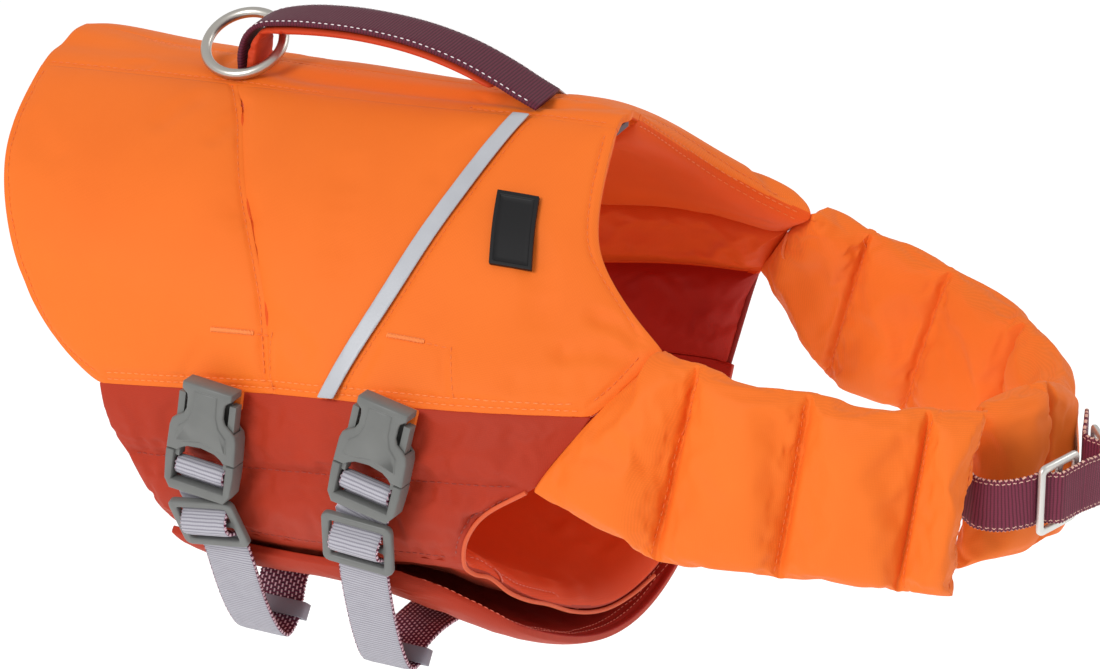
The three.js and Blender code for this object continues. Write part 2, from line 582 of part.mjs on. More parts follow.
for (const strap of BELLY_STRAPS) {
  const buckle = place(strap.hem, strap.up, [1, 0, 0]);
  const glideAt = place(strap.glideTop, strap.glideUp, [1, 0, 0]);
  add(strap.name + "_buckle_sleeve", buckleSleeve().applyMatrix4(buckle), PLASTIC_GREY, 0.5);
  add(strap.name + "_buckle_frame", buckleFrame().applyMatrix4(buckle), PLASTIC_GREY, 0.5);
  const slider = glide(BUCKLE_WIDTH, GLIDE_HIGH, 3.3, 3, 6.6, 3, 0.6);
  add(strap.name + "_glide", slider.applyMatrix4(glideAt), PLASTIC_GREY, 0.5);

  const stop = (matrix, down, out) => ({
    at: v3(0, -down, out).applyMatrix4(matrix), across: alongX.clone().transformDirection(matrix),
    width: WEB_WIDTH, thick: WEB_THICK,
  });
  const free = ([x, y, z]) => ({ at: v3(x, y, z), across: alongX, width: WEB_WIDTH, thick: WEB_THICK });
  const round = [
    [35.8, -3.4], [33.5, -2.7], [31.5, -2], [30.9, 0], [31.5, 2], [33.4, 2.6], [35.2, 2.2], [36.8, 0],
    [38.2, -2.6], [40, -3.1], [43, -3.2],
  ];
  const weave = [
    [1, -3.1], [3, -2.7], [5.9, 0], [8, 3], [10.75, 4.2], [13.5, 3], [15.6, 0], [18.6, -2.8], [21, -3.1],
  ];
  const clothStop = (level, side, rise) => {
    const edges = [-WEB_WIDTH / 2, WEB_WIDTH / 2];
    const [back, front] = edges.map((d) => beside(strap.x + d, level, side, rise(d)));
    const across = front.clone().sub(back).normalize();
    return { at: back.lerp(front, 0.5), across, width: WEB_WIDTH, thick: WEB_THICK };
  };
  const under = range(strap.from, 0.86, 11).map((v) =>
    clothStop(underLevel(v), v < 0 ? -1 : 1, (d) => strapRise(strap.x + d, v)));
  const leftLevels = [LOWER - 0.05, 5.5, QUILT + 0.1, 4.7, 4.35, 4.12];
  const upLeft = leftLevels.map((level) => clothStop(level, 1, () => 2.9));
  const stops = [
    ...round.map(([d, o]) => stop(buckle, d, o)), ...weave.map(([d, o]) => stop(glideAt, d, o)),
    ...strap.loop.map(free), ...under, ...upLeft,
  ];
  add(strap.name + "_belly_strap", ribbon(stops, 2), WEB_GREY);

  // A ribbed keeper holds the loop together.
  const [low, at] = strap.loop.slice(-2).map((p) => v3(...p));
  const along = at.clone().sub(low).normalize();
  const keeper = plate(roundedBox(12.2, 2.9, -2.9, 1), [roundedBox(10.8, 1.7, -1.7, 0.4)], 6, 0);
  const seat = place(low.lerp(at, 0.5).toArray(), along.clone().cross(alongX).toArray(), [1, 0, 0]);
  add(strap.name + "_keeper", keeper.applyMatrix4(seat), WEB_GREY);

  // The tab that holds the buckle comes out from under the hem.
  const tab = [[1.2, -5.7], [5, -5.7], [9, -5.7]].map(([d, o]) => stop(buckle, d, o));
  add(strap.name + "_buckle_tab", ribbon(tab, 2), ORANGE);
}

// The strap that closes the collar: from inside the right arm's end, through a two-slot slider, round
// in front and back through a loop to the left arm.
const upright = v3(0, 0, 1);
const sliderAt = place([292, -55, -82], [-0.32, -0.95, 0], [0, 0, 1]);
const collarSlider = glide(26.5, 21, 2.8, 2.6, 6.6, 2, 0.5);
add("collar_slider", collarSlider.applyMatrix4(sliderAt), SATIN, 0.4, 0.8);
const loopAt = place([303.6, -20.5, -84], [0.6, -0.8, 0], [0, 0, 1]);
const loop = plate(roundedBox(13.2, 0, -14, 2.2), [roundedBox(10.6, -3, -11, 0.8)], 2, 0.5);
add("collar_loop", loop.applyMatrix4(loopAt), SATIN, 0.4, 0.8);
const collarStop = (at) => ({ at, across: upright, width: WEB_WIDTH, thick: WEB_THICK });
const fromArm = [[263, -57, -81], [267, -59, -82], [272, -61.8, -83], [281, -60.4, -83]];
const inSlider = [[0, -2.8], [2.6, -2.7], [5.8, 0], [8.2, 2.8], [12, 3], [17, 3], [21, 3]];
const inLoop = [[0, 2.8], [2.8, 2.7], [7, 0], [11, -2.7], [14, -2.8]];
add("collar_strap", ribbon([
  ...fromArm.map((p) => collarStop(v3(...p))),
  ...inSlider.map(([d, o]) => collarStop(v3(0, -d, o).applyMatrix4(sliderAt))),
  ...inLoop.map(([d, o]) => collarStop(v3(0, -d, o).applyMatrix4(loopAt))),
  ...[[290.5, -3, -81.5], [289, 2, -81]].map((p) => collarStop(v3(...p))),
], 2), BURGUNDY);

export default root;
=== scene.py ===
# A dog life jacket in its worn form, with no dog in it: a foam saddle, quilted lower panels, two
# belly layers, a quilted collar, a carry handle with a lead ring, and two buckled belly straps.
# Metres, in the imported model's frame: +X to the dog's head, +Y to its left, +Z up.
import math

import bmesh
import bpy
from mathutils import Matrix, Vector, noise
from mathutils.bvhtree import BVHTree
from mathutils.kdtree import KDTree


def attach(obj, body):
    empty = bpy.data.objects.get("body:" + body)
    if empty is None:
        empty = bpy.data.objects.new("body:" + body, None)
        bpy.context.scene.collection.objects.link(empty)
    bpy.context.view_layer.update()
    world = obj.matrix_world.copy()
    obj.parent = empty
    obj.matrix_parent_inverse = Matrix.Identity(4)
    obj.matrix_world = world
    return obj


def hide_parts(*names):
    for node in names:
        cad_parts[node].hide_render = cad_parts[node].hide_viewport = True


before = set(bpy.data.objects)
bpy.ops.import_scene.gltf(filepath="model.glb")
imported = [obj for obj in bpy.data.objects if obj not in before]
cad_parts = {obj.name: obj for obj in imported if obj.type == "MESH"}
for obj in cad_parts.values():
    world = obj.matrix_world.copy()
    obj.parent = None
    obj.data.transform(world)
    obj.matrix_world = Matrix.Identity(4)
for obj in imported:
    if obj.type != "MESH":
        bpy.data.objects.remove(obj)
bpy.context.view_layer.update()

# ---- Camera -------------------------------------------------------------------------------------
# A long lens looks at the jacket's right side from a little behind its shoulder and above.
MM = 0.001
AZIMUTH, ELEVATION = math.radians(25), math.radians(25)
AIM = Vector((82, 0, -83)) * MM
toward_camera = Vector((
    math.sin(AZIMUTH) * math.cos(ELEVATION), -math.cos(AZIMUTH) * math.cos(ELEVATION), math.sin(ELEVATION)))
lens = bpy.data.cameras.new("camera")
lens.sensor_width = 36
lens.lens = 160.2
camera = bpy.data.objects.new("camera", lens)
camera.location = AIM + toward_camera * 1.8
camera.rotation_euler = toward_camera.to_track_quat("Z", "Y").to_euler()
bpy.context.collection.objects.link(camera)
bpy.context.scene.camera = camera


# ---- Studio -------------------------------------------------------------------------------------
# A lit white floor well below the jacket, which hangs as if worn, a big soft light beside and
# above the camera, and a weaker one from the rear. The even white world fills the shadows.
def linear(code):
    """A colour from its sRGB hex code."""
    parts = [int(code[i:i + 2], 16) / 255 for i in (0, 2, 4)]
    return tuple(p / 12.92 if p <= 0.04045 else ((p + 0.055) / 1.055) ** 2.4 for p in parts) + (1.0,)


def new_material(name):
    material = bpy.data.materials.new(name)
    material.use_nodes = True
    return material, material.node_tree, material.node_tree.nodes["Principled BSDF"]


def add_node(tree, kind, links=(), **settings):
    """Adds a node. links are (input, source node, output) or (input, value)."""
    made = tree.nodes.new(kind)
    for key, value in settings.items():
        setattr(made, key, value)
    for link in links:
        if len(link) == 3:
            tree.links.new(link[1].outputs[link[2]], made.inputs[link[0]])
        else:
            made.inputs[link[0]].default_value = link[1]
    return made


FLOOR_DROP = 0.62
floor_mesh = bpy.data.meshes.new("studio_floor")
bm = bmesh.new()
bmesh.ops.create_grid(bm, x_segments=1, y_segments=1, size=9)
bmesh.ops.translate(bm, verts=bm.verts, vec=(0, 3, -FLOOR_DROP))
bm.to_mesh(floor_mesh)
bm.free()
studio_floor = bpy.data.objects.new("studio_floor", floor_mesh)
bpy.context.collection.objects.link(studio_floor)
white_paper, _, paper = new_material("white_background_paper")
paper.inputs["Base Color"].default_value = linear("ffffff")
paper.inputs["Roughness"].default_value = 0.9
paper.inputs["Emission Color"].default_value = linear("ffffff")
paper.inputs["Emission Strength"].default_value = 0.3
floor_mesh.materials.append(white_paper)


def soft_light(name, place, size, watts):
    lamp = bpy.data.lights.new(name, "AREA")
    lamp.shape = "DISK"
    lamp.size = size
    lamp.energy = watts
    ob = bpy.data.objects.new(name, lamp)
    ob.location = place
    ob.rotation_euler = (Vector(place) - AIM).to_track_quat("Z", "Y").to_euler()
    bpy.context.collection.objects.link(ob)


soft_light("key_light", (-0.35, -1.7, 1.2), 0.9, 25)
soft_light("rim_light", (1.5, 1.2, 1.0), 1.0, 9)
world = bpy.data.worlds.new("white_studio")
world.use_nodes = True
world.node_tree.nodes["Background"].inputs["Color"].default_value = linear("ffffff")
world.node_tree.nodes["Background"].inputs["Strength"].default_value = 0.62
bpy.context.scene.world = world
bpy.context.scene.view_settings.view_transform = "Standard"

# ---- Saddle -------------------------------------------------------------------------------------
# Three foam-filled pieces a side, sewn edge to edge. The outer cloth is a plain-woven nylon with a
# matt coating, so it shines only faintly at grazing angles and its yarns show as a fine grain.
THREAD_PITCH = 0.55 * MM  # the real yarn is finer; this is as fine as shows
SINE_BAND = 0.314  # a wave texture's sine bands are this over its scale apart


def woven_nylon(name, colour, shade, glow):
    """Coated nylon: shade is its colour where the dye took deeper, glow its sheen's colour."""
    material, tree, cloth = new_material(name)
    weave = add_node(tree, "ShaderNodeTexCoord")
    own = add_node(tree, "ShaderNodeTexCoord")
    yarn = [
        ("Vector", weave, "UV"), ("Scale", SINE_BAND / THREAD_PITCH), ("Distortion", 1.2), ("Detail", 0.0)]
    warp = add_node(tree, "ShaderNodeTexWave", yarn, bands_direction="X")
    weft = add_node(tree, "ShaderNodeTexWave", yarn, bands_direction="Y")
    grain = add_node(tree, "ShaderNodeMath", [(0, warp, "Fac"), (1, weft, "Fac")], operation="MULTIPLY")
    rumple = add_node(tree, "ShaderNodeTexNoise", [
        ("Vector", own, "Object"), ("Scale", 90.0), ("Detail", 3.0)])
    blotch = add_node(tree, "ShaderNodeTexNoise", [
        ("Vector", own, "Object"), ("Scale", 24.0), ("Detail", 4.0)])
    mixed = add_node(tree, "ShaderNodeMix", [
        ("Factor", blotch, "Fac"), (6, linear(shade)), (7, linear(colour))], data_type="RGBA")
    # Painted shade: the colour is scaled by the weave's height, a little lighter on the yarn crests and
    # darker in the hollows between them.
    painted_weave_shade = add_node(tree, "ShaderNodeMapRange", [("Value", grain, 0), ("To Min", 0.93), ("To Max", 1.05)])
    toned = add_node(tree, "ShaderNodeVectorMath", [(0, mixed, 2)], operation="SCALE")
    tree.links.new(painted_weave_shade.outputs[0], toned.inputs["Scale"])
    tree.links.new(toned.outputs[0], cloth.inputs["Base Color"])
    wavy = add_node(tree, "ShaderNodeBump", [
        ("Height", rumple, "Fac"), ("Strength", 0.22), ("Distance", 0.6 * MM)])
    fine = add_node(tree, "ShaderNodeBump", [
        ("Height", grain, 0), ("Strength", 0.25), ("Distance", 0.12 * MM), ("Normal", wavy, "Normal")])
    tree.links.new(fine.outputs["Normal"], cloth.inputs["Normal"])
    cloth.inputs["Roughness"].default_value = 0.66
    cloth.inputs["IOR"].default_value = 1.45
    cloth.inputs["Specular IOR Level"].default_value = 0.32
    cloth.inputs["Sheen Weight"].default_value = 0.12
    cloth.inputs["Sheen Roughness"].default_value = 0.45
    cloth.inputs["Sheen Tint"].default_value = linear(glow)
    return material


orange_nylon = woven_nylon("coated_orange_nylon", "f37520", "e96b1a", "ffb27a")
rust_nylon = woven_nylon("coated_rust_nylon", "b63417", "a02b12", "e88a6a")
# The saddle's lining is a real layer, but its deeper, more saturated orange is painted shade and bounce light
# for the jacket's shaded inside.
orange_lining_painted_shade = woven_nylon("nylon_lining_orange_painted_shade", "e8560e", "d84b0a", "ff8a3a")
red_lining = woven_nylon("nylon_lining_red", "b01c05", "981604", "d8442a")
belly_lining = woven_nylon("nylon_lining_flame", "e2480a", "cc3a06", "f88038")

BODY_MIDDLE = Vector((0, 0, -85)) * MM
COLLAR_MIDDLE = Vector((215, 0, -85)) * MM


def link(name, bm, materials, body="jacket"):
    """Makes the finished piece from its bmesh and lets it ride on its body."""
    mesh = bpy.data.meshes.new(name)
    bm.to_mesh(mesh)
    bm.free()
    piece = bpy.data.objects.new(name, mesh)
    bpy.context.collection.objects.link(piece)
    for material in materials:
        mesh.materials.append(material)
    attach(piece, body)
    return piece


def apply_modifiers(piece):
    bpy.context.view_layer.update()
    seen = piece.evaluated_get(bpy.context.evaluated_depsgraph_get())
    mesh = bpy.data.meshes.new_from_object(seen)
    mesh.name = piece.name
    old = piece.data
    piece.modifiers.clear()
    piece.data = mesh
    bpy.data.meshes.remove(old)


def smooth_levels(piece, levels):
    made = piece.modifiers.new("smooth", "SUBSURF")
    made.levels = made.render_levels = levels
    apply_modifiers(piece)


SEWN = [side + part for side in ("right", "left") for part in (
    "_side_rear", "_side_middle", "_side_front", "_lower_panel", "_collar")]
SEWN += ["spine_panel", "inner_belly", "outer_belly"]
SEAM_REACH = 1.6 * MM
SEAM_LAP = 0.22 * MM  # how far each of two pieces reaches into the seam between them


def neighbours(node):
    """A tree of the faces of every other sewn piece. The two belly layers only lie on each other."""
    places, faces = [], []
    for other in SEWN:
        if other != node and not ("belly" in node and "belly" in other):
            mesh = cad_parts[other].data
            faces += [[len(places) + v for v in p.vertices] for p in mesh.polygons]
            places += [v.co.copy() for v in mesh.vertices]
    return BVHTree.FromPolygons(places, faces)


def sewn_copy(node, crease_angle=50, crease=0.75):
    """A copy of a CAD solid with its triangles paired to quads and its cut edges marked. Where it
    is sewn to a neighbour its edge is drawn up to it, and stays sharp, so that the seam is shut."""
    bm = bmesh.new()
    bm.from_mesh(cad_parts[node].data)
    bmesh.ops.remove_doubles(bm, verts=bm.verts, dist=0.002 * MM)
    sewn = set()
    if node in SEWN:
        others = neighbours(node)
        for v in bm.verts:
            place, _, _, gap = others.find_nearest(v.co, SEAM_REACH)
            if place is not None:
                sewn.add(v)
                v.co += (place - v.co) * (0.5 + SEAM_LAP / gap)
    borders = set()
    for edge in bm.edges:
        rims = [sewn.issuperset(face.verts) for face in edge.link_faces]
        if any(rims) and not all(rims):
            borders.add(edge)
            edge.smooth = False
    bmesh.ops.join_triangles(
        bm, faces=bm.faces, cmp_sharp=True,
        angle_face_threshold=math.radians(50), angle_shape_threshold=math.radians(50))
    marked = bm.edges.layers.float.new("crease_edge")
    for edge in bm.edges:
        if edge in borders:
            edge[marked] = 1.0
            edge.smooth = True
        elif edge.is_manifold and edge.calc_face_angle(0) > math.radians(crease_angle):
            edge[marked] = crease
    for face in bm.faces:
        face.smooth = True
    return bm


def hold_at_seams(piece, others):
    """Pins the cloth where it meets the others, and where the wall is thin: at its cut edges and its
    quilting seams."""
    mesh = piece.data
    tree = BVHTree.FromPolygons([v.co for v in mesh.vertices], [p.vertices for p in mesh.polygons])
    pinned = []
    for v in mesh.vertices:
        _, _, _, depth = tree.ray_cast(v.co - v.normal * 0.05 * MM, -v.normal)
        depth = (depth or 0.05) / MM
        joined = others.find_nearest(v.co, 1.0 * MM)[0] is not None
        pinned.append(1.0 if joined else 1 - min(1, max(0, (depth - 3.6) / 4.4)))
    for _ in range(3):
        spread = list(pinned)
        for edge in mesh.edges:
            a, b = edge.vertices
            spread[a] = max(spread[a], pinned[b] * 0.93)
            spread[b] = max(spread[b], pinned[a] * 0.93)
        pinned = spread
    group = piece.vertex_groups.new(name="seams")
    for i, weight in enumerate(pinned):
        group.add([i], weight, "REPLACE")
    return group.name, pinned


def fill_out(piece, others, slack, pressure, most):
    """Lets the cloth, cut a little too long, settle over its foam. most caps its movement, in mm."""
    was = [v.co.copy() for v in piece.data.vertices]
    seams, pinned = hold_at_seams(piece, others)
    made = piece.modifiers.new("settle", "CLOTH")
    set_ = made.settings
    set_.quality = 4
    set_.mass = 0.1
    set_.tension_stiffness = set_.compression_stiffness = 18
    set_.shear_stiffness = 9
    set_.bending_stiffness = 0.25
    set_.use_pressure = True
    set_.uniform_pressure_force = pressure
    set_.shrink_min = -slack
    set_.vertex_group_mass = seams
    set_.pin_stiffness = 8
    set_.effector_weights.gravity = 0
    made.point_cache.frame_start, made.point_cache.frame_end = 1, 18
    for step in range(1, 19):
        bpy.context.scene.frame_set(step)
    apply_modifiers(piece)
    bpy.context.scene.frame_set(1)
    for v, old, held in zip(piece.data.vertices, was, pinned):
        moved = v.co - old
        v.co = old + moved * (1 - held ** 4) * min(1, most * MM / max(moved.length, 1e-9))


BODY_ROUND, COLLAR_ROUND = 0.095, 0.1  # how far the cloth lies from those middles, for its grain's size


def lay_grain(piece, middle, around):
    """UVs in metres along the weave: along the body and round it, or round the collar and up it."""
    uv = piece.data.uv_layers.new(name="grain") if not piece.data.uv_layers else piece.data.uv_layers[0]
    for loop in piece.data.loops:
        p = piece.data.vertices[loop.vertex_index].co - middle
        if around == "X":
            uv.data[loop.index].uv = (p.x, math.atan2(abs(p.y), p.z) * BODY_ROUND)
        else:
            uv.data[loop.index].uv = (math.atan2(abs(p.y), p.x) * COLLAR_ROUND, p.z)


def line_inside(piece, around):
    """Gives the lining to the faces that look towards the dog, and to the rim of the rear edge."""
    for face in piece.data.polygons:
        p = face.center
        middle = Vector((p.x, 0, -0.085) if around == "X" else (min(p.x, COLLAR_MIDDLE.x + 0.01), 0, p.z))
        rear_rim = around == "X" and face.normal.x < -0.75 and p.x < -0.07
        if rear_rim or face.normal.dot((p - middle).normalized()) < -0.1:
            face.material_index = 1


def padded_piece(node, material, lining, around="X", slack=0.0, pressure=0.05, most=1.5):
    """Dresses a padded CAD solid. Firm foam has no slack in its cloth, and nothing to settle."""
    name = node + "_cloth"
    piece = link(name, sewn_copy(node), [material, lining])
    smooth_levels(piece, 2)
    if slack:
        fill_out(piece, neighbours(node), slack, pressure, most)
    smooth_levels(piece, 1)
    lay_grain(piece, BODY_MIDDLE if around == "X" else COLLAR_MIDDLE, around)
    line_inside(piece, around)
    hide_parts(node)
    return piece


saddle = {}
for side in ("right", "left"):
    for part in ("rear", "middle", "front"):
        saddle[side, part] = padded_piece(
            f"{side}_side_{part}", orange_nylon, orange_lining_painted_shade)
right_saddle = [saddle["right", part] for part in ("rear", "middle", "front")]
left_saddle = [saddle["left", part] for part in ("rear", "middle", "front")]


# Creases are worked into the finished cloth: a line in mm, how deep and how wide it is. A crease
# fades out towards both its ends, and its depth wanders along it as a real fold's does.
def along_line(points, step=0.6):
    """Points every step mm along a smooth line through points, all in mm."""
    knots = [Vector(p) for p in points]
    out = []
    for i in range(len(knots) - 1):
        a, b = knots[i], knots[i + 1]
        before = knots[i - 1] if i else a * 2 - b
        after = knots[i + 2] if i + 2 < len(knots) else b * 2 - a
        count = max(1, round((b - a).length / step))
        for k in range(count):
            t = k / count
            out.append(0.5 * (2 * a + (b - before) * t + (2 * before - 5 * a + 4 * b - after) * t ** 2
                              + (3 * a - before - 3 * b + after) * t ** 3))
    return out + [knots[-1]]


skins = {}


def skin_of(piece):
    """The finished cloth before its creases: a tree of its faces and one of its corners."""
    if piece.name not in skins:
        mesh = piece.data
        faces = BVHTree.FromPolygons([v.co for v in mesh.vertices], [p.vertices for p in mesh.polygons])
        corners = KDTree(len(mesh.vertices))
        for v in mesh.vertices:
            corners.insert(v.co, v.index)
        corners.balance()
        skins[piece.name] = (faces, corners, [v.normal.copy() for v in mesh.vertices])
    return skins[piece.name]


def nearest_on(pieces, place):
    found = [skin_of(piece)[0].find_nearest(place) for piece in pieces]
    return min(found, key=lambda hit: hit[3])[:2]


def laid_on(pieces, points, step=0.6):
    """(place, normal) in metres along a line where it lies on the pieces' outer skin. The line is
    evened over a few mm, and dropped on the cloth along the mean normal round each point, so that
    neither a seam's rim nor an earlier crease turns it."""
    first = [nearest_on(pieces, p * MM) for p in along_line(points, step)]
    reach = round(4 / step)
    line = []
    for i in range(len(first)):
        k = min(i, len(first) - 1 - i, reach)
        place = sum((near for near, _ in first[i - k:i + k + 1]), Vector()) / (2 * k + 1)
        around = first[max(0, i - 2 * reach):i + 2 * reach + 1]
        mean = sum((normal for _, normal in around), Vector()).normalized()
        above = place + mean * 1.6 * MM
        hits = [skin_of(piece)[0].ray_cast(above, -mean, 4 * MM) for piece in pieces]
        hits = [hit for hit in hits if hit[0] is not None]
        line.append((min(hits, key=lambda hit: hit[3])[0] if hits else nearest_on(pieces, above)[0], mean))
    return line


def press(pieces, points, depth, width, fade=True, seed=0.0, uneven=0.5):
    """Presses a trough along a line of mm points, or raises a ridge where depth is negative."""
    line = laid_on(pieces, points, 0.8)
    for piece in pieces:
        _, corners, outward = skin_of(piece)
        near = {}
        for i, (place, _) in enumerate(line):
            for _, v, gap in corners.find_range(place, width * MM):
                if v not in near or gap < near[v][0]:
                    near[v] = (gap, i)
        for index, (gap, i) in near.items():
            normal = line[i][1]
            if outward[index].dot(normal) < 0.1:
                continue
            t = i / max(1, len(line) - 1)
            ends = min(1, 6.4 * t * (1 - t)) if fade else 1
            wander = 1 + uneven * noise.noise(Vector((i * 0.13, seed, 0.5)))
            sink = depth * MM * wander * ends * (1 - (gap / (width * MM)) ** 2) ** 2
            piece.data.vertices[index].co -= normal * sink


def mirrored(points):
    return [(x, -y, z) for x, y, z in points]


SADDLE_CREASES = [  # points, depth, width
    ([(-20, -62, -18), (-2, -70, -30), (20, -84, -52)], 0.7, 9),
    ([(22, -40, -8), (30, -62, -22), (34, -78, -40)], 0.55, 11),
    ([(6, -88, -48), (24, -93, -55), (38, -98, -64)], 0.6, 7),
    ([(96, -52, -18), (108, -62, -32), (112, -76, -46)], 0.7, 9),
    ([(152, -70, -46), (140, -66, -42), (126, -66, -40)], 1.1, 5),
    ([(150, -72, -49), (134, -74, -50), (118, -80, -52)], 0.9, 6),
    ([(142, -80, -56), (124, -88, -58), (104, -93, -58)], 0.6, 7),
    ([(-112, -40, -16), (-98, -52, -24), (-84, -56, -28)], 0.6, 9),
    ([(-92, -84, -54), (-72, -86, -56), (-52, -84, -52)], 0.6, 10),
    ([(-60, -92, -72), (-44, -93, -66), (-30, -92, -62)], 0.5, 8),
    ([(-34, -20, -1), (-30, -32, -7), (-34, -46, -12)], 0.8, 6),
    ([(-44, -22, -2), (-54, -32, -6), (-58, -44, -12)], 0.5, 7),
    ([(66, -20, 2), (58, -34, -6), (56, -46, -12)], 0.5, 6),
]
for number, (points, depth, width) in enumerate(SADDLE_CREASES):
    press(right_saddle, points, 1.35 * depth, width, seed=number)
    press(left_saddle, [(x + 5 * math.sin(number), y, z) for x, y, z in mirrored(points)],
          depth * (1.1 + 0.4 * math.cos(3 * number)), width, seed=number + 40)

# ---- Stitching ----------------------------------------------------------------------------------
# Lockstitch in polyester thread, about four stitches to the centimetre. Each line sinks into the
# cloth, which puckers a little between the stitches. The thread's colour is close to the cloth's.
def spun_thread(name, colour):
    material, tree, thread = new_material(name)
    own = add_node(tree, "ShaderNodeTexCoord")
    twist = add_node(tree, "ShaderNodeTexNoise", [
        ("Vector", own, "Object"), ("Scale", 2500.0), ("Detail", 1.0)])
    shade = add_node(tree, "ShaderNodeMapRange", [("Value", twist, "Fac"), ("To Min", 0.8), ("To Max", 1.15)])
    toned = add_node(tree, "ShaderNodeVectorMath", [(0, linear(colour)[:3])], operation="SCALE")
    tree.links.new(shade.outputs[0], toned.inputs["Scale"])
    tree.links.new(toned.outputs[0], thread.inputs["Base Color"])
    thread.inputs["Roughness"].default_value = 0.5
    thread.inputs["Sheen Weight"].default_value = 0.2
    return material


orange_thread = spun_thread("polyester_thread_orange", "f98a3c")
deep_thread = spun_thread("polyester_thread_deep_orange", "e8701c")
rust_thread = spun_thread("polyester_thread_rust", "9a2a16")
coral_thread = spun_thread("polyester_thread_coral", "dd6448")
white_thread = spun_thread("polyester_thread_white", "e9dfe0")

STITCH, STITCH_GAP, THREAD = 2.1, 0.65, 0.42  # mm


def one_stitch(bm, middle, run, normal, long, thick):
    """A spindle of thread along run, lying on the cloth."""
    along = run.normalized()
    across = normal.cross(along).normalized()
    up = along.cross(across)
    turn = Matrix((along, across, up)).transposed().to_4x4()
    grow = Matrix.Diagonal((long * MM / 2, thick * MM / 2, thick * MM / 2, 1))
    place = Matrix.Translation(middle + up * thick * 0.22 * MM) @ turn @ grow
    place = place @ Matrix.Rotation(math.pi / 2, 4, "Y")
    bmesh.ops.create_uvsphere(bm, u_segments=6, v_segments=5, radius=1, matrix=place)


def stitches(name, pieces, lines, thread, sink=0.45, width=1.7, long=STITCH, gap=STITCH_GAP,
             thick=THREAD):
    """Rows of stitches along lines of mm points that lie on the pieces."""
    for number, points in enumerate(lines):
        if sink:
            press(pieces, points, sink, width, fade=False, seed=number * 3.1, uneven=0.9)
    for piece in pieces:
        skins.pop(piece.name, None)
    bm = bmesh.new()
    for points in lines:
        line = laid_on(pieces, points, 0.25)
        travelled, start = 0.0, 0
        for i in range(1, len(line)):
            travelled += (line[i][0] - line[i - 1][0]).length / MM
            if travelled < long + gap:
                continue
            a, b = line[start], line[i]
            run = b[0] - a[0]
            one_stitch(bm, a[0] + run * long / (long + gap) / 2, run, a[1] + b[1], long, thick)
            travelled, start = 0.0, i
    return finished_thread(name, bm, thread)


def bar_tacks(name, pieces, bars, thread, wide=1.9, pitch=0.5, thick=0.62):
    """Bars of dense stitches, each from one mm point to another that lies on the pieces."""
    bm = bmesh.new()
    for number, bar in enumerate(bars):
        line = laid_on(pieces, bar, pitch)
        for i in range(1, len(line) - 1):
            run = (line[i + 1][0] - line[i - 1][0]).cross(line[i][1])
            ragged = wide * (1 + 0.12 * math.sin(i * 2.3 + number))
            one_stitch(bm, line[i][0] + line[i][1] * 0.15 * MM, run, line[i][1], ragged, thick)
    return finished_thread(name, bm, thread)


def finished_thread(name, bm, thread):
    for face in bm.faces:
        face.smooth = True
    piece = link(name, bm, [thread])
    return piece


def piping(name, points, material, radius=0.8):
    """A round cord of rolled cloth along mm points."""
    curve = bpy.data.curves.new(name, "CURVE")
    curve.dimensions = "3D"
    curve.bevel_depth = radius * MM
    curve.bevel_resolution = 3
    curve.use_fill_caps = True
    path = along_line(points, 1.0)
    spline = curve.splines.new("POLY")
    spline.points.add(len(path) - 1)
    for point, place in zip(spline.points, path):
        point.co = (*(place * MM), 1)
    cord = bpy.data.objects.new(name, curve)
    bpy.context.collection.objects.link(cord)
    bpy.context.view_layer.update()
    mesh = bpy.data.meshes.new_from_object(cord.evaluated_get(bpy.context.evaluated_depsgraph_get()))
    bpy.data.objects.remove(cord)
    mesh.name = name
    mesh.materials.clear()
    mesh.materials.append(material)
    for face in mesh.polygons:
        face.use_smooth = True
    piece = bpy.data.objects.new(name, mesh)
    bpy.context.collection.objects.link(piece)
    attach(piece, "jacket")


UPRIGHT_SEAM = [(-38.1, -14.9, 0.8), (-27.6, -30.5, -4.7), (-19.7, -45.1, -10.9), (-12.1, -58.1, -17.8),
                (-0.2, -74.3, -30.2), (9.9, -86.4, -44.3), (13.8, -92, -53.7), (18.9, -99.5, -71.4)]
HEM_ROW = [(-50, -96.3, -86), (-28, -97.8, -81.9), (-4.5, -99.4, -77.7), (19, -100.7, -73.9),
           (43, -101.9, -70.7), (67, -102.9, -67.6), (90.5, -102.2, -65.4), (114, -98, -63.9),
           (136, -91.5, -63.2)]
REAR_ROW = [(-117, -20, -5.2), (-116, -29.8, -9), (-114, -45.3, -16), (-110, -58.6, -24.3),
            (-104, -70, -33.4), (-96, -80, -44.5), (-86.5, -87.4, -59), (-71.5, -92.8, -75.8),
            (-54, -96, -84.5)]
NECK_ROW = [(110, -14, 6), (111.6, -23.3, 0), (115, -38.6, -11.7), (121, -50.8, -22.5),
            (133.5, -59.4, -32.7), (147, -66.5, -42)]
NECK_LOW_ROW = [(150, -72, -48), (144, -82, -56), (138, -89.5, -61.5)]
for side, pieces, flip in (("right", right_saddle, lambda p: p), ("left", left_saddle, mirrored)):
    hem_inside = [(x, y * 0.994, z + 2.6) for x, y, z in HEM_ROW]
    stitches(f"{side}_hem_stitches", pieces, [flip(HEM_ROW), flip(hem_inside)], orange_thread)
    stitches(f"{side}_edge_stitches", pieces, [flip(REAR_ROW), flip(NECK_ROW), flip(NECK_LOW_ROW)],
             deep_thread)
    stitches(f"{side}_seam_stitches", pieces, [flip([(x - 2.1, y, z) for x, y, z in UPRIGHT_SEAM])],
             deep_thread)
    # The folded allowances fill the seam just under the surface, in the lining's deeper orange, which is
    # painted shade.
    piping(f"{side}_seam_allowance", [(x, y * 0.986, z - 0.014 * (z + 85)) for x, y, z in flip(UPRIGHT_SEAM)],
           orange_lining_painted_shade)

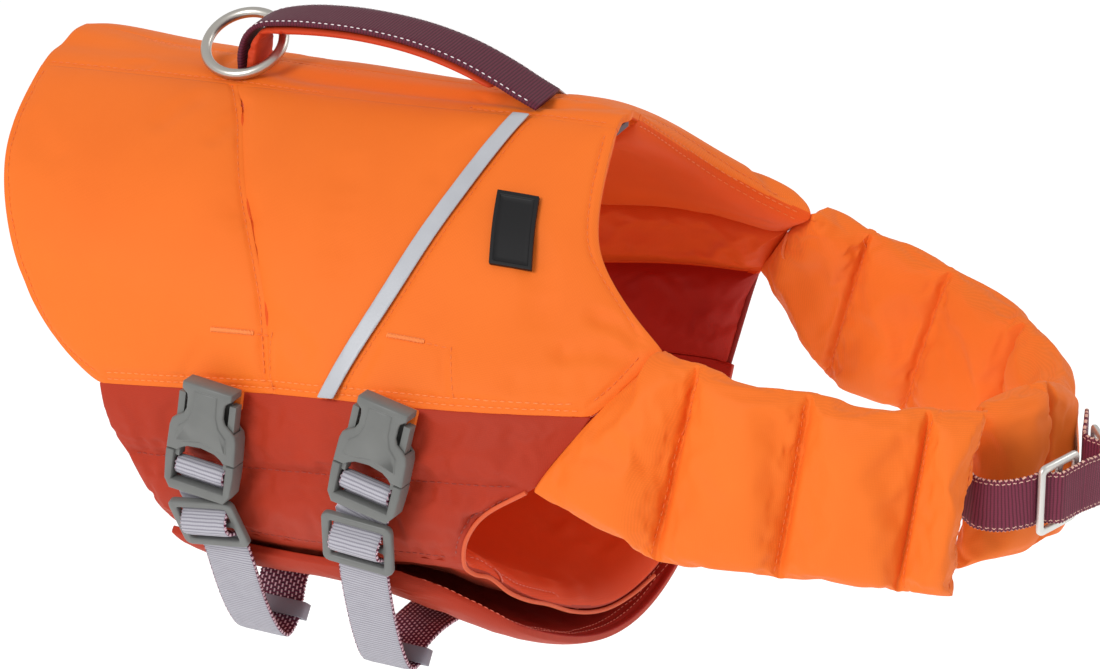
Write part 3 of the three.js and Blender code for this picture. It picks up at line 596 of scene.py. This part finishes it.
# Each belly strap is anchored inside the foam by a patch of webbing, which shows as a step in the
# cloth: its upper end is bar-tacked through, and its front edge is stitched down in a low welt.
STRAP_ANCHORS = [  # the bar tack, the anchor's rear edge and its welt
    ([(-7.2, -95.4, -58.1), (10, -93.6, -57.1)], [(-8.6, -96.1, -60), (-13, -98, -69), (-18, -99.3, -78.8)],
     [(16.5, -94.5, -54.6), (18, -98.5, -65), (20, -101.2, -74)]),
    ([(60.4, -89.9, -49.4), (75.5, -89.6, -49.3)], [(59, -91, -51), (56, -97, -60), (52.5, -101, -69)],
     [(85.4, -89.1, -49.5), (89.5, -97, -58), (92.6, -101.5, -65)]),
]
STRIP_ROW = [(80.8, -14.5, 5.6), (75.7, -31.3, -3.5), (69.8, -53.6, -17.2), (64.8, -69.4, -29.8),
             (59.8, -82.5, -43.1), (53.9, -94.5, -57.4), (48.9, -101, -70)]
ANCHOR_RUNS = [[(10.6, -93.6, -57.3), (16.2, -94.4, -56.6)], [(76.2, -89.7, -49.6), (85, -89.2, -50.2)],
               STRIP_ROW]
for side, pieces, flip in (("right", right_saddle, lambda p: p), ("left", left_saddle, mirrored)):
    for number, (bar, edge, welt) in enumerate(STRAP_ANCHORS):
        press(pieces, flip(edge), 0.55, 3.2, seed=number + 60)
        press(pieces, flip(welt), -0.6, 2.6, seed=number + 62, uneven=0.2)
        press(pieces, flip([(x - 3.4, y, z) for x, y, z in welt]), 0.45, 3, seed=number + 64)
    for piece in pieces:
        skins.pop(piece.name, None)
    stitches(f"{side}_anchor_stitches", pieces, [flip(run) for run in ANCHOR_RUNS], deep_thread,
             sink=0.25)
    bar_tacks(f"{side}_bar_tacks", pieces, [flip(bar) for bar, _, _ in STRAP_ANCHORS], orange_thread)
    stitches(f"{side}_welt_stitches", pieces, [flip(welt) for _, _, welt in STRAP_ANCHORS], deep_thread,
             sink=0.2)

# ---- Spine panel --------------------------------------------------------------------------------
# One double layer of the same nylon along the back. It has sunk under the handle, puckers where
# the handle is sewn in, and is topstitched along both creases.
spine = link("spine_panel_cloth", sewn_copy("spine_panel"), [orange_nylon, orange_lining_painted_shade])
smooth_levels(spine, 3)
lay_grain(spine, BODY_MIDDLE, "X")
line_inside(spine, "X")
SPINE_PUCKERS = [  # points, depth, width
    ([(-34, -13, 0), (-26, -4, -1), (-14, 2, -1)], 1.1, 4),
    ([(-32, 12, 0), (-22, 6, -1), (-8, 5, -1)], 1.0, 4),
    ([(-20, -12, 1), (-8, -6, 0), (8, -7, 0)], 0.8, 4),
    ([(0, 11, 1), (14, 4, 0), (30, 6, 1)], 0.8, 4.5),
    ([(20, -12, 2), (34, -5, 1), (50, -8, 3)], 0.9, 4),
    ([(44, 10, 4), (54, 3, 4), (66, 4, 5)], 0.8, 4),
    ([(64, -9, 5), (72, -3, 6), (80, -7, 8)], 0.9, 3.5),
    ([(-60, -12, -1), (-76, -8, -1), (-92, -12, -2)], 0.5, 5),
    ([(-66, 9, -1), (-84, 12, -3), (-104, 8, -4)], 0.6, 5),
    ([(86, 8, 8), (98, 2, 9), (110, 5, 9)], 0.5, 4.5),
    ([(-46, -10, 0), (-52, 0, 2), (-48, 12, 0)], 0.9, 4),
    ([(-30, -7, 0), (-4, -5, 0), (22, -4.5, 1), (48, -5, 3), (72, -6, 6)], 0.7, 5.5),
    ([(-22, 4, -1), (6, 6.5, 0), (34, 5.5, 2), (60, 7, 4)], 0.5, 5),
]
for number, (points, depth, width) in enumerate(SPINE_PUCKERS):
    press([spine], points, 1.15 * depth, width, seed=number + 9)
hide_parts("spine_panel")
SPINE_ROW = [(-117, -14.4, -3.4), (-91, -13.6, -1.4), (-62, -12.9, 0.2), (-33, -12, 0.6), (-4, -11.4, 1.2),
             (25, -10.6, 2.6), (54, -9.8, 4.6), (83, -9, 7.5), (110, -8.6, 9)]
stitches("spine_stitches", [spine], [SPINE_ROW, mirrored(SPINE_ROW)], deep_thread, sink=0.35)

# The left neck edge is folded in and stitched along its rim, and a short dark tape finishes the
# spine panel's near corner.
NECK_RIM = [(112.6, 12, 3.6), (114.9, 24.5, -5.6), (118.8, 40, -17.8), (126.5, 51.6, -29.2),
            (140.2, 60.2, -40), (154, 66.6, -48)]
neck_inside = [(x - 1.6, y - 0.6, z - 1.8) for x, y, z in NECK_RIM]
stitches("left_neck_stitches", left_saddle, [NECK_RIM, neck_inside], deep_thread, sink=0.2)
TRIM_MIDDLE, TRIM_SIZE = Vector((111.4, -3.2, 5.4)) * MM, (0.9, 12, 2.6)
bm = bmesh.new()
place = Matrix.Translation(TRIM_MIDDLE) @ Matrix.Diagonal([s * MM for s in TRIM_SIZE] + [1])
bmesh.ops.create_cube(bm, size=1, matrix=place)
bmesh.ops.bevel(bm, geom=bm.edges[:], offset=0.25 * MM, segments=2, affect="EDGES", profile=0.5)
trim_tape = spun_thread("polyester_tape_plum", "38142a")
trim = link("neck_trim", bm, [trim_tape])

# ---- Lower panels -------------------------------------------------------------------------------
# Quilted rust nylon that hangs from the saddle's hem, with a seam along its middle, and a bright
# piping round each foreleg's opening.
QUILT_ROW = [(-38, -98.6, -112.5), (-15, -100, -110), (12, -101.5, -107), (39, -103, -103.1),
             (66, -104.6, -98.4), (93, -105, -94.3), (116, -103.6, -92)]


def height_at(row, x):
    """The height of a row of mm points where it passes x."""
    for (x0, _, z0), (x1, _, z1) in zip(row, row[1:]):
        if x < x1:
            return z0 + (z1 - z0) * (x - x0) / (x1 - x0)
    return row[-1][2]


lower = {}
for side in ("right", "left"):
    lower[side] = padded_piece(f"{side}_lower_panel", rust_nylon, red_lining,
                               slack=0.035, most=1.8)
    lower[side].data.materials.append(orange_lining_painted_shade)
    # Painted shade: these inner faces take the saddle lining's deeper orange.
    for face in lower[side].data.polygons:  # the saddle's lining runs on inside, down to the quilting seam
        if face.material_index == 1 and face.center.z > height_at(QUILT_ROW, face.center.x / MM) * MM:
            face.material_index = 2
LOWER_ROW = [(-28, -92.4, -136.5), (-8, -93, -136.4), (13, -93.8, -136), (35, -95, -134.2),
             (57, -96.5, -131.4), (78, -97.8, -128.6), (90, -98.3, -127.4)]
LEG_ROW = [(114, -103.5, -96), (102.5, -104, -104.5), (94, -102, -117), (90.6, -98, -127.5)]
LEFT_LEG_ROW = [(117, 103.4, -97), (114, 103, -104), (111.6, 101.4, -116), (109.8, 98, -126)]


def puckers(pieces, points, spacing, long, depth, width, seed):
    """Short creases that leave a seam at both sides, unevenly."""
    line = along_line(points, 0.5)
    travelled, count = 0.0, 0
    wanted = spacing * 0.6
    for i in range(1, len(line) - 1):
        travelled += (line[i] - line[i - 1]).length
        if travelled < wanted:
            continue
        travelled, count = 0.0, count + 1
        wobble = noise.noise(Vector((count * 1.7, seed, 3.3)))
        wanted = spacing * (1 + 0.9 * wobble)
        _, normal = nearest_on(pieces, line[i] * MM)
        along = (line[i + 1] - line[i - 1]).normalized()
        away = normal.cross(along).normalized()
        lean = along * (0.5 * noise.noise(Vector((count * 2.3, seed, 7.1))))
        for sign in (1, -1):
            reach = long * (0.65 + 0.8 * abs(noise.noise(Vector((count * 3.1, seed, sign)))))
            ends = [line[i] + away * sign * 0.5, line[i] + (away * sign + lean) * reach * 0.5,
                    line[i] + (away * sign + lean * 1.6) * reach]
            press(pieces, ends, depth * (0.7 + 0.6 * abs(wobble)), width, seed=seed + count)


for side, flip, leg in (("right", lambda p: p, LEG_ROW), ("left", mirrored, LEFT_LEG_ROW)):
    pieces = [lower[side]]
    press(pieces, flip(QUILT_ROW), 1.0, 4.5, fade=False, uneven=0.3)
    puckers(pieces, flip(QUILT_ROW), 9, 11, 0.8, 3.4, 2 if side == "right" else 5)
    puckers(pieces, flip(LOWER_ROW), 12, 7, 0.6, 3.2, 12 if side == "right" else 15)
    stitches(f"{side}_lower_stitches", pieces, [flip(QUILT_ROW), flip(LOWER_ROW), leg], rust_thread,
             sink=0.4)

# ---- Belly --------------------------------------------------------------------------------------
# The inner layer carries on from the right panel and tucks in on the left; its front edge is a
# wavy orange piping. The outer flap comes from the left and closes under it.
inner_belly = padded_piece("inner_belly", rust_nylon, belly_lining, slack=0.03,
                           most=1.2)
outer_belly = padded_piece("outer_belly", rust_nylon, red_lining, slack=0.03,
                           most=1.2)
FLAP_ROW = [(58, -89, -140), (77, -84, -141), (93.5, -74.5, -150.5), (101.5, -60.5, -161),
            (102.2, -42, -172.4), (102.6, -21, -185.4), (103, 0, -195), (103.4, 21, -200.5),
            (103.8, 42, -202.5), (104.6, 60.5, -198)]
flap_inside = [(x - 3, y, z - 0.5) for x, y, z in FLAP_ROW]
stitches("flap_stitches", [outer_belly], [FLAP_ROW, flap_inside], coral_thread, sink=0.35)

# A round piping finishes the edges that meet the dog's legs, and a dark binding the left opening.
piping_nylon = woven_nylon("piping_nylon", "e0623a", "cf5630", "ffae84")
binding_nylon = woven_nylon("binding_nylon_dark_red", "8c1608", "7a1106", "b84030")
RIGHT_LEG_EDGE = [(121, -103.4, -92.4), (105.6, -104, -104), (96.8, -101.4, -117), (93.4, -96.4, -130)]
INNER_FRONT = [(94.3, -90.3, -136.6), (97.2, -83.1, -141), (100, -73.2, -151), (101.7, -61.2, -159.6),
               (102.5, -45, -169), (102.8, -26.6, -180.6), (103.1, -7.9, -190), (103.4, 10, -196.2),
               (103.8, 28.8, -199.6), (104.2, 47, -200.6)]
LEFT_LEG_EDGE = [(121, 103.4, -92.4), (118, 103.2, -103.1), (115.2, 101, -116), (113.2, 96, -129),
                 (112.4, 94.4, -133)]
piping("right_leg_piping", RIGHT_LEG_EDGE + INNER_FRONT, piping_nylon)
piping("left_leg_binding", LEFT_LEG_EDGE, binding_nylon, 1.3)
stitches("belly_edge_stitches", [inner_belly], [[(x - 4, y * 0.97, z + 3.5) for x, y, z in INNER_FRONT]],
         coral_thread, sink=0.3)
BELLY_BARS = [[(94, -76, -142), (101, -76, -145.5)], [(95, -18, -183), (102, -18, -185)]]
bar_tacks("belly_bar_tacks", [inner_belly], BELLY_BARS, coral_thread, wide=1.5)

# ---- Collar -------------------------------------------------------------------------------------
# Two foam arms, quilted across, that meet at the chest. Each quilting seam is a row of fine
# stitches deep between two swells, with puckers running out of it.
collar = {
    side: padded_piece(f"{side}_collar", orange_nylon, orange_nylon, around="Z",
                       slack=0.035, pressure=0.06, most=2.2) for side in ("right", "left")}
bar_tacks("left_join_tack", [collar["left"]], [[(141.5, 85, -65), (141, 83.5, -75)]], orange_thread,
          wide=2.6)
CHEST_BEND = 225
COLLAR_SEAMS = {  # top and bottom of each quilting seam
    "right": [((176, -78, -43), (168, -98, -111)), ((217, -77, -46), (211, -90, -112)),
              ((257, -69, -47), (251, -80, -113)), ((274, -63, -47), (268, -74, -114))],
    "left": [((177, 78, -55), (156, 94, -125)), ((212, 71, -61), (191, 83, -128)),
             ((249, 50, -66), (234, 61, -131)), ((275, 14, -70), (266, 22, -128)),
             ((279, -19, -54), (280, -26, -114))],
}
for side, seams in COLLAR_SEAMS.items():
    for face, sign in (("outer", 1), ("inner", -1)):
        lines = []
        for top, bottom in seams:
            # Away from the collar's middle line, which ends at the chest's bend.
            out = Vector((max(0, top[0] - CHEST_BEND), top[1], 0)).normalized() * sign * 4
            a, b = Vector(top) + out, Vector(bottom) + out
            lines.append([a.lerp(b, t) for t in (0.04, 0.35, 0.65, 0.96)])
        for number, line in enumerate(lines):
            seed = number + (20 if side == "left" else 0) + (7 if sign < 0 else 0)
            puckers([collar[side]], line, 9.5, 10, 0.75, 3.4, seed)
        stitches(f"{side}_collar_{face}_stitches", [collar[side]], lines, deep_thread,
                 sink=0.3)

# ---- Reflective strips and patch ----------------------------------------------------------------
# The strips are glass-bead tape, satin and cool grey, sewn down over the seam behind the shoulder.
def bead_tape():
    material, tree, tape = new_material("reflective_bead_tape")
    own = add_node(tree, "ShaderNodeTexCoord")
    beads = add_node(tree, "ShaderNodeTexVoronoi", [("Vector", own, "Object"), ("Scale", 1500.0)])
    cloudy = add_node(tree, "ShaderNodeTexNoise", [
        ("Vector", own, "Object"), ("Scale", 60.0), ("Detail", 3.0)])
    tone = add_node(tree, "ShaderNodeMix", [
        ("Factor", cloudy, "Fac"), (6, linear("a5a7ad")), (7, linear("b9bbc0"))], data_type="RGBA")
    tree.links.new(tone.outputs[2], tape.inputs["Base Color"])
    bumps = add_node(tree, "ShaderNodeBump", [
        ("Height", beads, "Distance"), ("Strength", 0.3), ("Distance", 0.08 * MM)])
    tree.links.new(bumps.outputs["Normal"], tape.inputs["Normal"])
    tape.inputs["Roughness"].default_value = 0.42
    tape.inputs["Specular IOR Level"].default_value = 0.6
    return material


reflective_tape = bead_tape()
for side, pieces in (("right", right_saddle), ("left", left_saddle)):
    strip = link(f"{side}_strip_tape", sewn_copy(f"{side}_strip"), [reflective_tape])
    smooth_levels(strip, 2)
    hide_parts(f"{side}_strip")


def moulded_rubber():
    material, tree, rubber = new_material("moulded_black_rubber")
    own = add_node(tree, "ShaderNodeTexCoord")
    pores = add_node(tree, "ShaderNodeTexNoise", [
        ("Vector", own, "Object"), ("Scale", 1100.0), ("Detail", 2.0)])
    bumps = add_node(tree, "ShaderNodeBump", [
        ("Height", pores, "Fac"), ("Strength", 0.25), ("Distance", 0.08 * MM)])
    tree.links.new(bumps.outputs["Normal"], rubber.inputs["Normal"])
    rubber.inputs["Base Color"].default_value = linear("0f0e10")
    rubber.inputs["Roughness"].default_value = 0.55
    rubber.inputs["Specular IOR Level"].default_value = 0.3
    return material


patch = link("rubber_patch", sewn_copy("patch", crease_angle=30, crease=0.6), [moulded_rubber()])
smooth_levels(patch, 2)
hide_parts("patch")


# ---- Webbing ------------------------------------------------------------------------------------
# Woven polyester tape, 20 mm wide. Its weft makes fine ribs across and small loops along both
# edges. The belly straps are grey outside and burgundy with pale flecks inside.
def strap_rings(node, start, across):
    """The strap's path in its CAD solid, ring by ring: place, side, normal, half width, half thickness."""
    bm = bmesh.new()
    bm.from_mesh(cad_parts[node].data)
    bmesh.ops.remove_doubles(bm, verts=bm.verts, dist=0.002 * MM)
    start = Vector(start) * MM
    ring = sorted(bm.verts, key=lambda v: (v.co - start).length)[:4]
    seen, rings = set(ring), []
    while ring:
        rings.append([v.co.copy() for v in ring])
        following = {e.other_vert(v) for v in ring for e in v.link_edges} - seen
        seen |= following
        ring = sorted(following, key=lambda v: v.co[:])  # because a set's order changes from run to run
    bm.free()
    centres = [sum(r, Vector()) / 4 for r in rings]
    out, side = [], Vector(across)
    for i, corners in enumerate(rings):
        mate = min(corners[1:], key=lambda c: (c - corners[0]).length)
        far = [c for c in corners[1:] if c is not mate]
        chord = (corners[0] + mate) / 2 - (far[0] + far[1]) / 2
        if chord.dot(side) < 0:
            chord = -chord
        tangent = (centres[min(i + 1, len(rings) - 1)] - centres[max(i - 1, 0)]).normalized()
        side = chord.normalized()
        normal = tangent.cross(side).normalized()
        out.append((centres[i], side, normal, chord.length / 2, (corners[0] - mate).length / 2))
    return out


def resampled(rings, step):
    """The same path at even steps, smoothed between its rings: each row ends with its distance."""
    lengths = [0.0]
    for a, b in zip(rings, rings[1:]):
        lengths.append(lengths[-1] + (b[0] - a[0]).length)
    count = round(lengths[-1] / step)
    out, i = [], 0
    for k in range(count + 1):
        s = lengths[-1] * k / count
        while i < len(rings) - 2 and s > lengths[i + 1]:
            i += 1
        t = (s - lengths[i]) / (lengths[i + 1] - lengths[i])
        row = []
        for item in range(5):
            a, b = rings[i][item], rings[i + 1][item]
            before = rings[i - 1][item] if i else a * 2 - b
            after = rings[i + 2][item] if i + 2 < len(rings) else b * 2 - a
            row.append(0.5 * (2 * a + (b - before) * t + (2 * before - 5 * a + 4 * b - after) * t ** 2
                              + (3 * a - before - 3 * b + after) * t ** 3))
        out.append((*row, s))
    return out


RIB, YARN = 1.2 * MM, 0.7 * MM  # from rib to rib, and from yarn to yarn
EDGE_ROW = 8.5 * MM  # the flecks along the edges lie outside this
# Round the strap's section: across from -1 to 1, up from -1 to 1. The outer face comes first.
EDGE = 0.965  # where the selvedge starts
ACROSS = (-EDGE, -0.72, -0.45, -0.15, 0.15, 0.45, 0.72, EDGE)
SECTION = ([(x, 1.0) for x in ACROSS] + [(1.0, 0.35), (1.0, -0.35)]
           + [(-x, -1.0) for x in ACROSS] + [(-1.0, -0.35), (-1.0, 0.35)])


def webbing(name, node, start, across, outer, inner, scallop=0.28, rib=0.09):
    """A strap along its CAD solid's path. outer and inner are its two faces' materials, and scallop
    and rib how far its weft stands out at its edges and its faces, in mm."""
    path = resampled(strap_rings(node, start, across), RIB * 0.3)
    bm = bmesh.new()
    around = len(SECTION)
    bmesh.ops.create_grid(bm, x_segments=around, y_segments=len(path) - 1, size=1)
    uv = bm.loops.layers.uv.new("along")
    columns = {}
    for v in bm.verts:
        columns[v] = (round((v.co.x + 1) / 2 * around), round((v.co.y + 1) / 2 * (len(path) - 1)))
    for face in bm.faces:
        face.smooth = True
        first = min(columns[v][0] for v in face.verts)
        face.material_index = 0 if first < len(ACROSS) - 1 else 1
        for loop in face.loops:
            i, j = columns[loop.vert]
            loop[uv].uv = (path[j][5], SECTION[i % around][0] * path[j][3])
    for v, (i, j) in columns.items():
        x, up = SECTION[i % around]
        place, side, normal, half, thick, s = path[j]
        wave = math.cos(2 * math.pi * s / RIB)
        wide = half + (scallop * wave - scallop) * MM if abs(x) > 0.9 else half - scallop * MM
        lift = thick + (rib * wave - rib) * MM if abs(up) == 1 else thick
        if abs(x) == EDGE:
            lift *= 0.8
        v.co = place + side * x * wide + normal * up * lift
    bmesh.ops.remove_doubles(bm, verts=bm.verts, dist=0.001 * MM)
    bmesh.ops.holes_fill(bm, edges=[e for e in bm.edges if e.is_boundary], sides=0)
    bmesh.ops.recalc_face_normals(bm, faces=bm.faces)
    piece = link(name, bm, [outer, inner])
    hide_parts(node)
    return piece


def ribbed_tape(name, bright, dark, flecks=None, edge_only=False):
    """Ribs across the tape at their real pitch; flecks are pale weft floats in rows along it, or
    only along its edges."""
    material, tree, tape = new_material(name)
    place = add_node(tree, "ShaderNodeTexCoord")
    ribs = add_node(tree, "ShaderNodeTexWave", [
        ("Vector", place, "UV"), ("Scale", SINE_BAND / RIB), ("Distortion", 0.6), ("Detail", 0.0)],
        bands_direction="X")
    yarns = add_node(tree, "ShaderNodeTexWave", [
        ("Vector", place, "UV"), ("Scale", SINE_BAND / YARN), ("Distortion", 0.8), ("Detail", 0.0)],
        bands_direction="Y")
    both = add_node(tree, "ShaderNodeMath", [(0, ribs, "Fac"), (1, yarns, "Fac")], operation="MULTIPLY")
    height = add_node(tree, "ShaderNodeMath", [(0, ribs, "Fac"), (1, both, 0)], operation="ADD")
    # Painted shade: the tape's colour runs from dark in the hollows between its ribs and yarns to bright on
    # their crests.
    tone = add_node(tree, "ShaderNodeMix", [
        ("Factor", height, 0), (6, linear(dark)), (7, linear(bright))], data_type="RGBA", clamp_factor=True)
    colour = tone.outputs[2]
    if flecks:
        floats = add_node(tree, "ShaderNodeTexBrick", [
            ("Vector", place, "UV"), ("Scale", 1.0), ("Color1", linear(flecks)), ("Color2", linear(flecks)),
            ("Mortar", (0, 0, 0, 1)), ("Mortar Size", 0.5 * MM), ("Mortar Smooth", 0.2),
            ("Brick Width", 2.1 * MM), ("Row Height", 1.55 * MM)])
        share = add_node(tree, "ShaderNodeMath", [(0, 1.0), (1, floats, "Fac")], operation="SUBTRACT")
        if edge_only:
            split = add_node(tree, "ShaderNodeSeparateXYZ", [("Vector", place, "UV")])
            off = add_node(tree, "ShaderNodeMath", [(0, split, "Y")], operation="ABSOLUTE")
            near_edge = add_node(tree, "ShaderNodeMath", [
                (0, off, 0), (1, EDGE_ROW)], operation="GREATER_THAN")
            share = add_node(tree, "ShaderNodeMath", [(0, share, 0), (1, near_edge, 0)], operation="MULTIPLY")
        spots = add_node(tree, "ShaderNodeMix", [("Factor", share, 0), (7, linear(flecks))], data_type="RGBA")
        tree.links.new(colour, spots.inputs[6])
        colour = spots.outputs[2]
    tree.links.new(colour, tape.inputs["Base Color"])
    bumps = add_node(tree, "ShaderNodeBump", [
        ("Height", height, 0), ("Strength", 0.5), ("Distance", 0.15 * MM)])
    tree.links.new(bumps.outputs["Normal"], tape.inputs["Normal"])
    tape.inputs["Roughness"].default_value = 0.62
    tape.inputs["Specular IOR Level"].default_value = 0.3
    tape.inputs["Sheen Weight"].default_value = 0.05
    return material


grey_tape = ribbed_tape("ribbed_polyester_grey", "b0aeb6", "827f89")
flecked_tape = ribbed_tape("flecked_polyester_burgundy", "6b2440", "42142a", flecks="e3c2cd")
burgundy_tape = ribbed_tape("ribbed_polyester_burgundy", "611b32", "3f1020")
edged_tape = ribbed_tape("edge_flecked_polyester_burgundy", "7a2a42", "521829", flecks="e8b9a8",
                         edge_only=True)

webbing("rear_belly_webbing", "rear_belly_strap", (-2.88, -109.07, -108.14), (1, 0, 0), grey_tape,
        flecked_tape)
webbing("front_belly_webbing", "front_belly_strap", (64.85, -112.45, -98.94), (1, 0, 0), grey_tape,
        flecked_tape)
webbing("collar_webbing", "collar_strap", (263, -57, -81), (0, 0, 1), edged_tape, edged_tape)

# ---- Handle -------------------------------------------------------------------------------------
# Burgundy tape on a padded rust roll, joined by a row of white stitches along each edge. The roll
# gathers where it turns down into the ring.
handle_tape = webbing("handle_tape", "handle_strap", (-40.4, 0, 3.6), (0, 1, 0), burgundy_tape, burgundy_tape,
                      scallop=0.05, rib=0.04)
roll_nylon = woven_nylon("coated_rust_nylon_roll", "d0421a", "bd3814", "f09070")
handle_roll = link("handle_roll", sewn_copy("handle_pad", crease=0.25), [roll_nylon])
smooth_levels(handle_roll, 3)
for v in handle_roll.data.vertices:  # it swells forwards where it turns down into the ring
    low = min(1, max(0, (22 * MM - v.co.z) / (9 * MM))) * min(1, max(0, (v.co.z - 2 * MM) / (5 * MM)))
    v.co.x += 3.2 * MM * low * min(1, max(0, (v.co.x + 40 * MM) / (5 * MM))) * (v.co.x < 0)
lay_grain(handle_roll, BODY_MIDDLE, "X")
GATHERS = [(-36.5, 8, 1), (-36, 12, -1), (-34.5, 15.5, 1), (-31, 18.8, -1), (-27, 21, 1), (-22, 22.6, -1)]
for number, (x, z, lean) in enumerate(GATHERS):
    across = [(x, -9, z + lean), (x + 0.6, 0, z), (x, 9, z - lean)]
    press([handle_roll], across, 0.55, 1.6, fade=False, seed=number)
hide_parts("handle_pad")
HANDLE_EDGE = [(-39.6, -6.7, 17), (-34, -7.1, 22.8), (-23, -8.8, 26.4), (-6, -9.75, 28.7),
               (12, -9.75, 29.3), (32, -9.75, 27.8), (50, -9.75, 23.9), (65, -9.75, 18.3), (74, -9.6, 14.2),
               (79.5, -9.5, 11.8)]
stitches("handle_stitches", [handle_tape], [HANDLE_EDGE, mirrored(HANDLE_EDGE)], white_thread,
         sink=0, long=1.5, gap=1.0, thick=0.5)


# ---- Ring ---------------------------------------------------------------------------------------
# Welded from 4 mm stainless wire and tumbled to a satin finish. It hangs round the handle's end.
def brushed_steel():
    material, tree, steel = new_material("satin_stainless_steel")
    own = add_node(tree, "ShaderNodeTexCoord")
    scuffs = add_node(tree, "ShaderNodeTexNoise", [
        ("Vector", own, "Object"), ("Scale", 900.0), ("Detail", 4.0)])
    rough = add_node(tree, "ShaderNodeMapRange", [
        ("Value", scuffs, "Fac"), ("To Min", 0.26), ("To Max", 0.42)])
    tree.links.new(rough.outputs[0], steel.inputs["Roughness"])
    bumps = add_node(tree, "ShaderNodeBump", [
        ("Height", scuffs, "Fac"), ("Strength", 0.12), ("Distance", 0.05 * MM)])
    tree.links.new(bumps.outputs["Normal"], steel.inputs["Normal"])
    steel.inputs["Base Color"].default_value = linear("c9c4bc")
    steel.inputs["Metallic"].default_value = 1
    return material


satin_steel = brushed_steel()
RING_CENTRE = Vector((-42.3, 0, 11.3)) * MM
bm = bmesh.new()
upright = Matrix.Translation((14.9 * MM, 0, 0)) @ Matrix.Rotation(math.pi / 2, 4, "X")
bmesh.ops.create_circle(bm, segments=24, radius=2 * MM, matrix=upright)
bmesh.ops.spin(bm, geom=bm.verts[:] + bm.edges[:], cent=(0, 0, 0), axis=(0, 0, 1), angle=2 * math.pi,
               steps=128, use_merge=True)
bmesh.ops.remove_doubles(bm, verts=bm.verts, dist=0.01 * MM)
bmesh.ops.recalc_face_normals(bm, faces=bm.faces)
leaning = Matrix.Translation(RING_CENTRE) @ Matrix.Rotation(math.radians(30), 4, "X")
bmesh.ops.transform(bm, matrix=leaning, verts=bm.verts)
for face in bm.faces:
    face.smooth = True
ring = link("lead_ring", bm, [satin_steel], body="ring")
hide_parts("ring")


# ---- Buckles ------------------------------------------------------------------------------------
# Side-release buckles and their sliders, injection-moulded in grey acetal: a fine spark-eroded
# grain on the faces, and small rounds on every edge.
def moulded_acetal():
    material, tree, acetal = new_material("moulded_grey_acetal")
    own = add_node(tree, "ShaderNodeTexCoord")
    grain = add_node(tree, "ShaderNodeTexNoise", [
        ("Vector", own, "Object"), ("Scale", 1400.0), ("Detail", 2.0)])
    flow = add_node(tree, "ShaderNodeTexNoise", [
        ("Vector", own, "Object"), ("Scale", 120.0), ("Detail", 2.0)])
    tone = add_node(tree, "ShaderNodeMix", [
        ("Factor", flow, "Fac"), (6, linear("626361")), (7, linear("6f706d"))], data_type="RGBA")
    tree.links.new(tone.outputs[2], acetal.inputs["Base Color"])
    bumps = add_node(tree, "ShaderNodeBump", [
        ("Height", grain, "Fac"), ("Strength", 0.2), ("Distance", 0.06 * MM)])
    tree.links.new(bumps.outputs["Normal"], acetal.inputs["Normal"])
    acetal.inputs["Roughness"].default_value = 0.42
    acetal.inputs["IOR"].default_value = 1.48
    return material


def rounded_moulding(name, node, material, radius=0.35):
    """The moulded part with its flat faces cleaned and its edges rounded."""
    bm = bmesh.new()
    bm.from_mesh(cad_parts[node].data)
    bmesh.ops.remove_doubles(bm, verts=bm.verts, dist=0.005 * MM)
    bmesh.ops.dissolve_limit(bm, angle_limit=math.radians(2), verts=bm.verts, edges=bm.edges)
    sharp = [e for e in bm.edges if e.is_manifold and e.calc_face_angle(0) > math.radians(32)]
    bmesh.ops.bevel(bm, geom=sharp, offset=radius * MM, segments=2, profile=0.5, affect="EDGES",
                    clamp_overlap=True, material=-1)
    for face in bm.faces:
        face.smooth = True
    piece = link(name, bm, [material])
    piece.data.set_sharp_from_angle(angle=math.radians(38))
    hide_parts(node)
    return piece


grey_acetal = moulded_acetal()
for strap in ("rear", "front"):
    rounded_moulding(f"{strap}_buckle_socket", f"{strap}_buckle_sleeve", grey_acetal)
    rounded_moulding(f"{strap}_buckle_plug", f"{strap}_buckle_frame", grey_acetal)
    rounded_moulding(f"{strap}_slider", f"{strap}_glide", grey_acetal, radius=0.25)
    rounded_moulding(f"{strap}_loop_keeper", f"{strap}_keeper", grey_tape, radius=0.3)
    tab = link(f"{strap}_tab_cloth", sewn_copy(f"{strap}_buckle_tab"), [orange_nylon])
    smooth_levels(tab, 2)
    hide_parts(f"{strap}_buckle_tab")


# ---- Collar closure -----------------------------------------------------------------------------
# A cast slider and loop, barrel-finished and clear-plated, which leaves a pale satin metal.
def cast_metal():
    material, tree, metal = new_material("satin_cast_metal")
    own = add_node(tree, "ShaderNodeTexCoord")
    pits = add_node(tree, "ShaderNodeTexNoise", [
        ("Vector", own, "Object"), ("Scale", 1000.0), ("Detail", 3.0)])
    rough = add_node(tree, "ShaderNodeMapRange", [("Value", pits, "Fac"), ("To Min", 0.36), ("To Max", 0.5)])
    tree.links.new(rough.outputs[0], metal.inputs["Roughness"])
    metal.inputs["Base Color"].default_value = linear("d9d7d2")
    metal.inputs["Metallic"].default_value = 0.9
    return material


satin_metal = cast_metal()
rounded_moulding("collar_slider_metal", "collar_slider", satin_metal, radius=0.3)
rounded_moulding("collar_loop_metal", "collar_loop", satin_metal, radius=0.3)
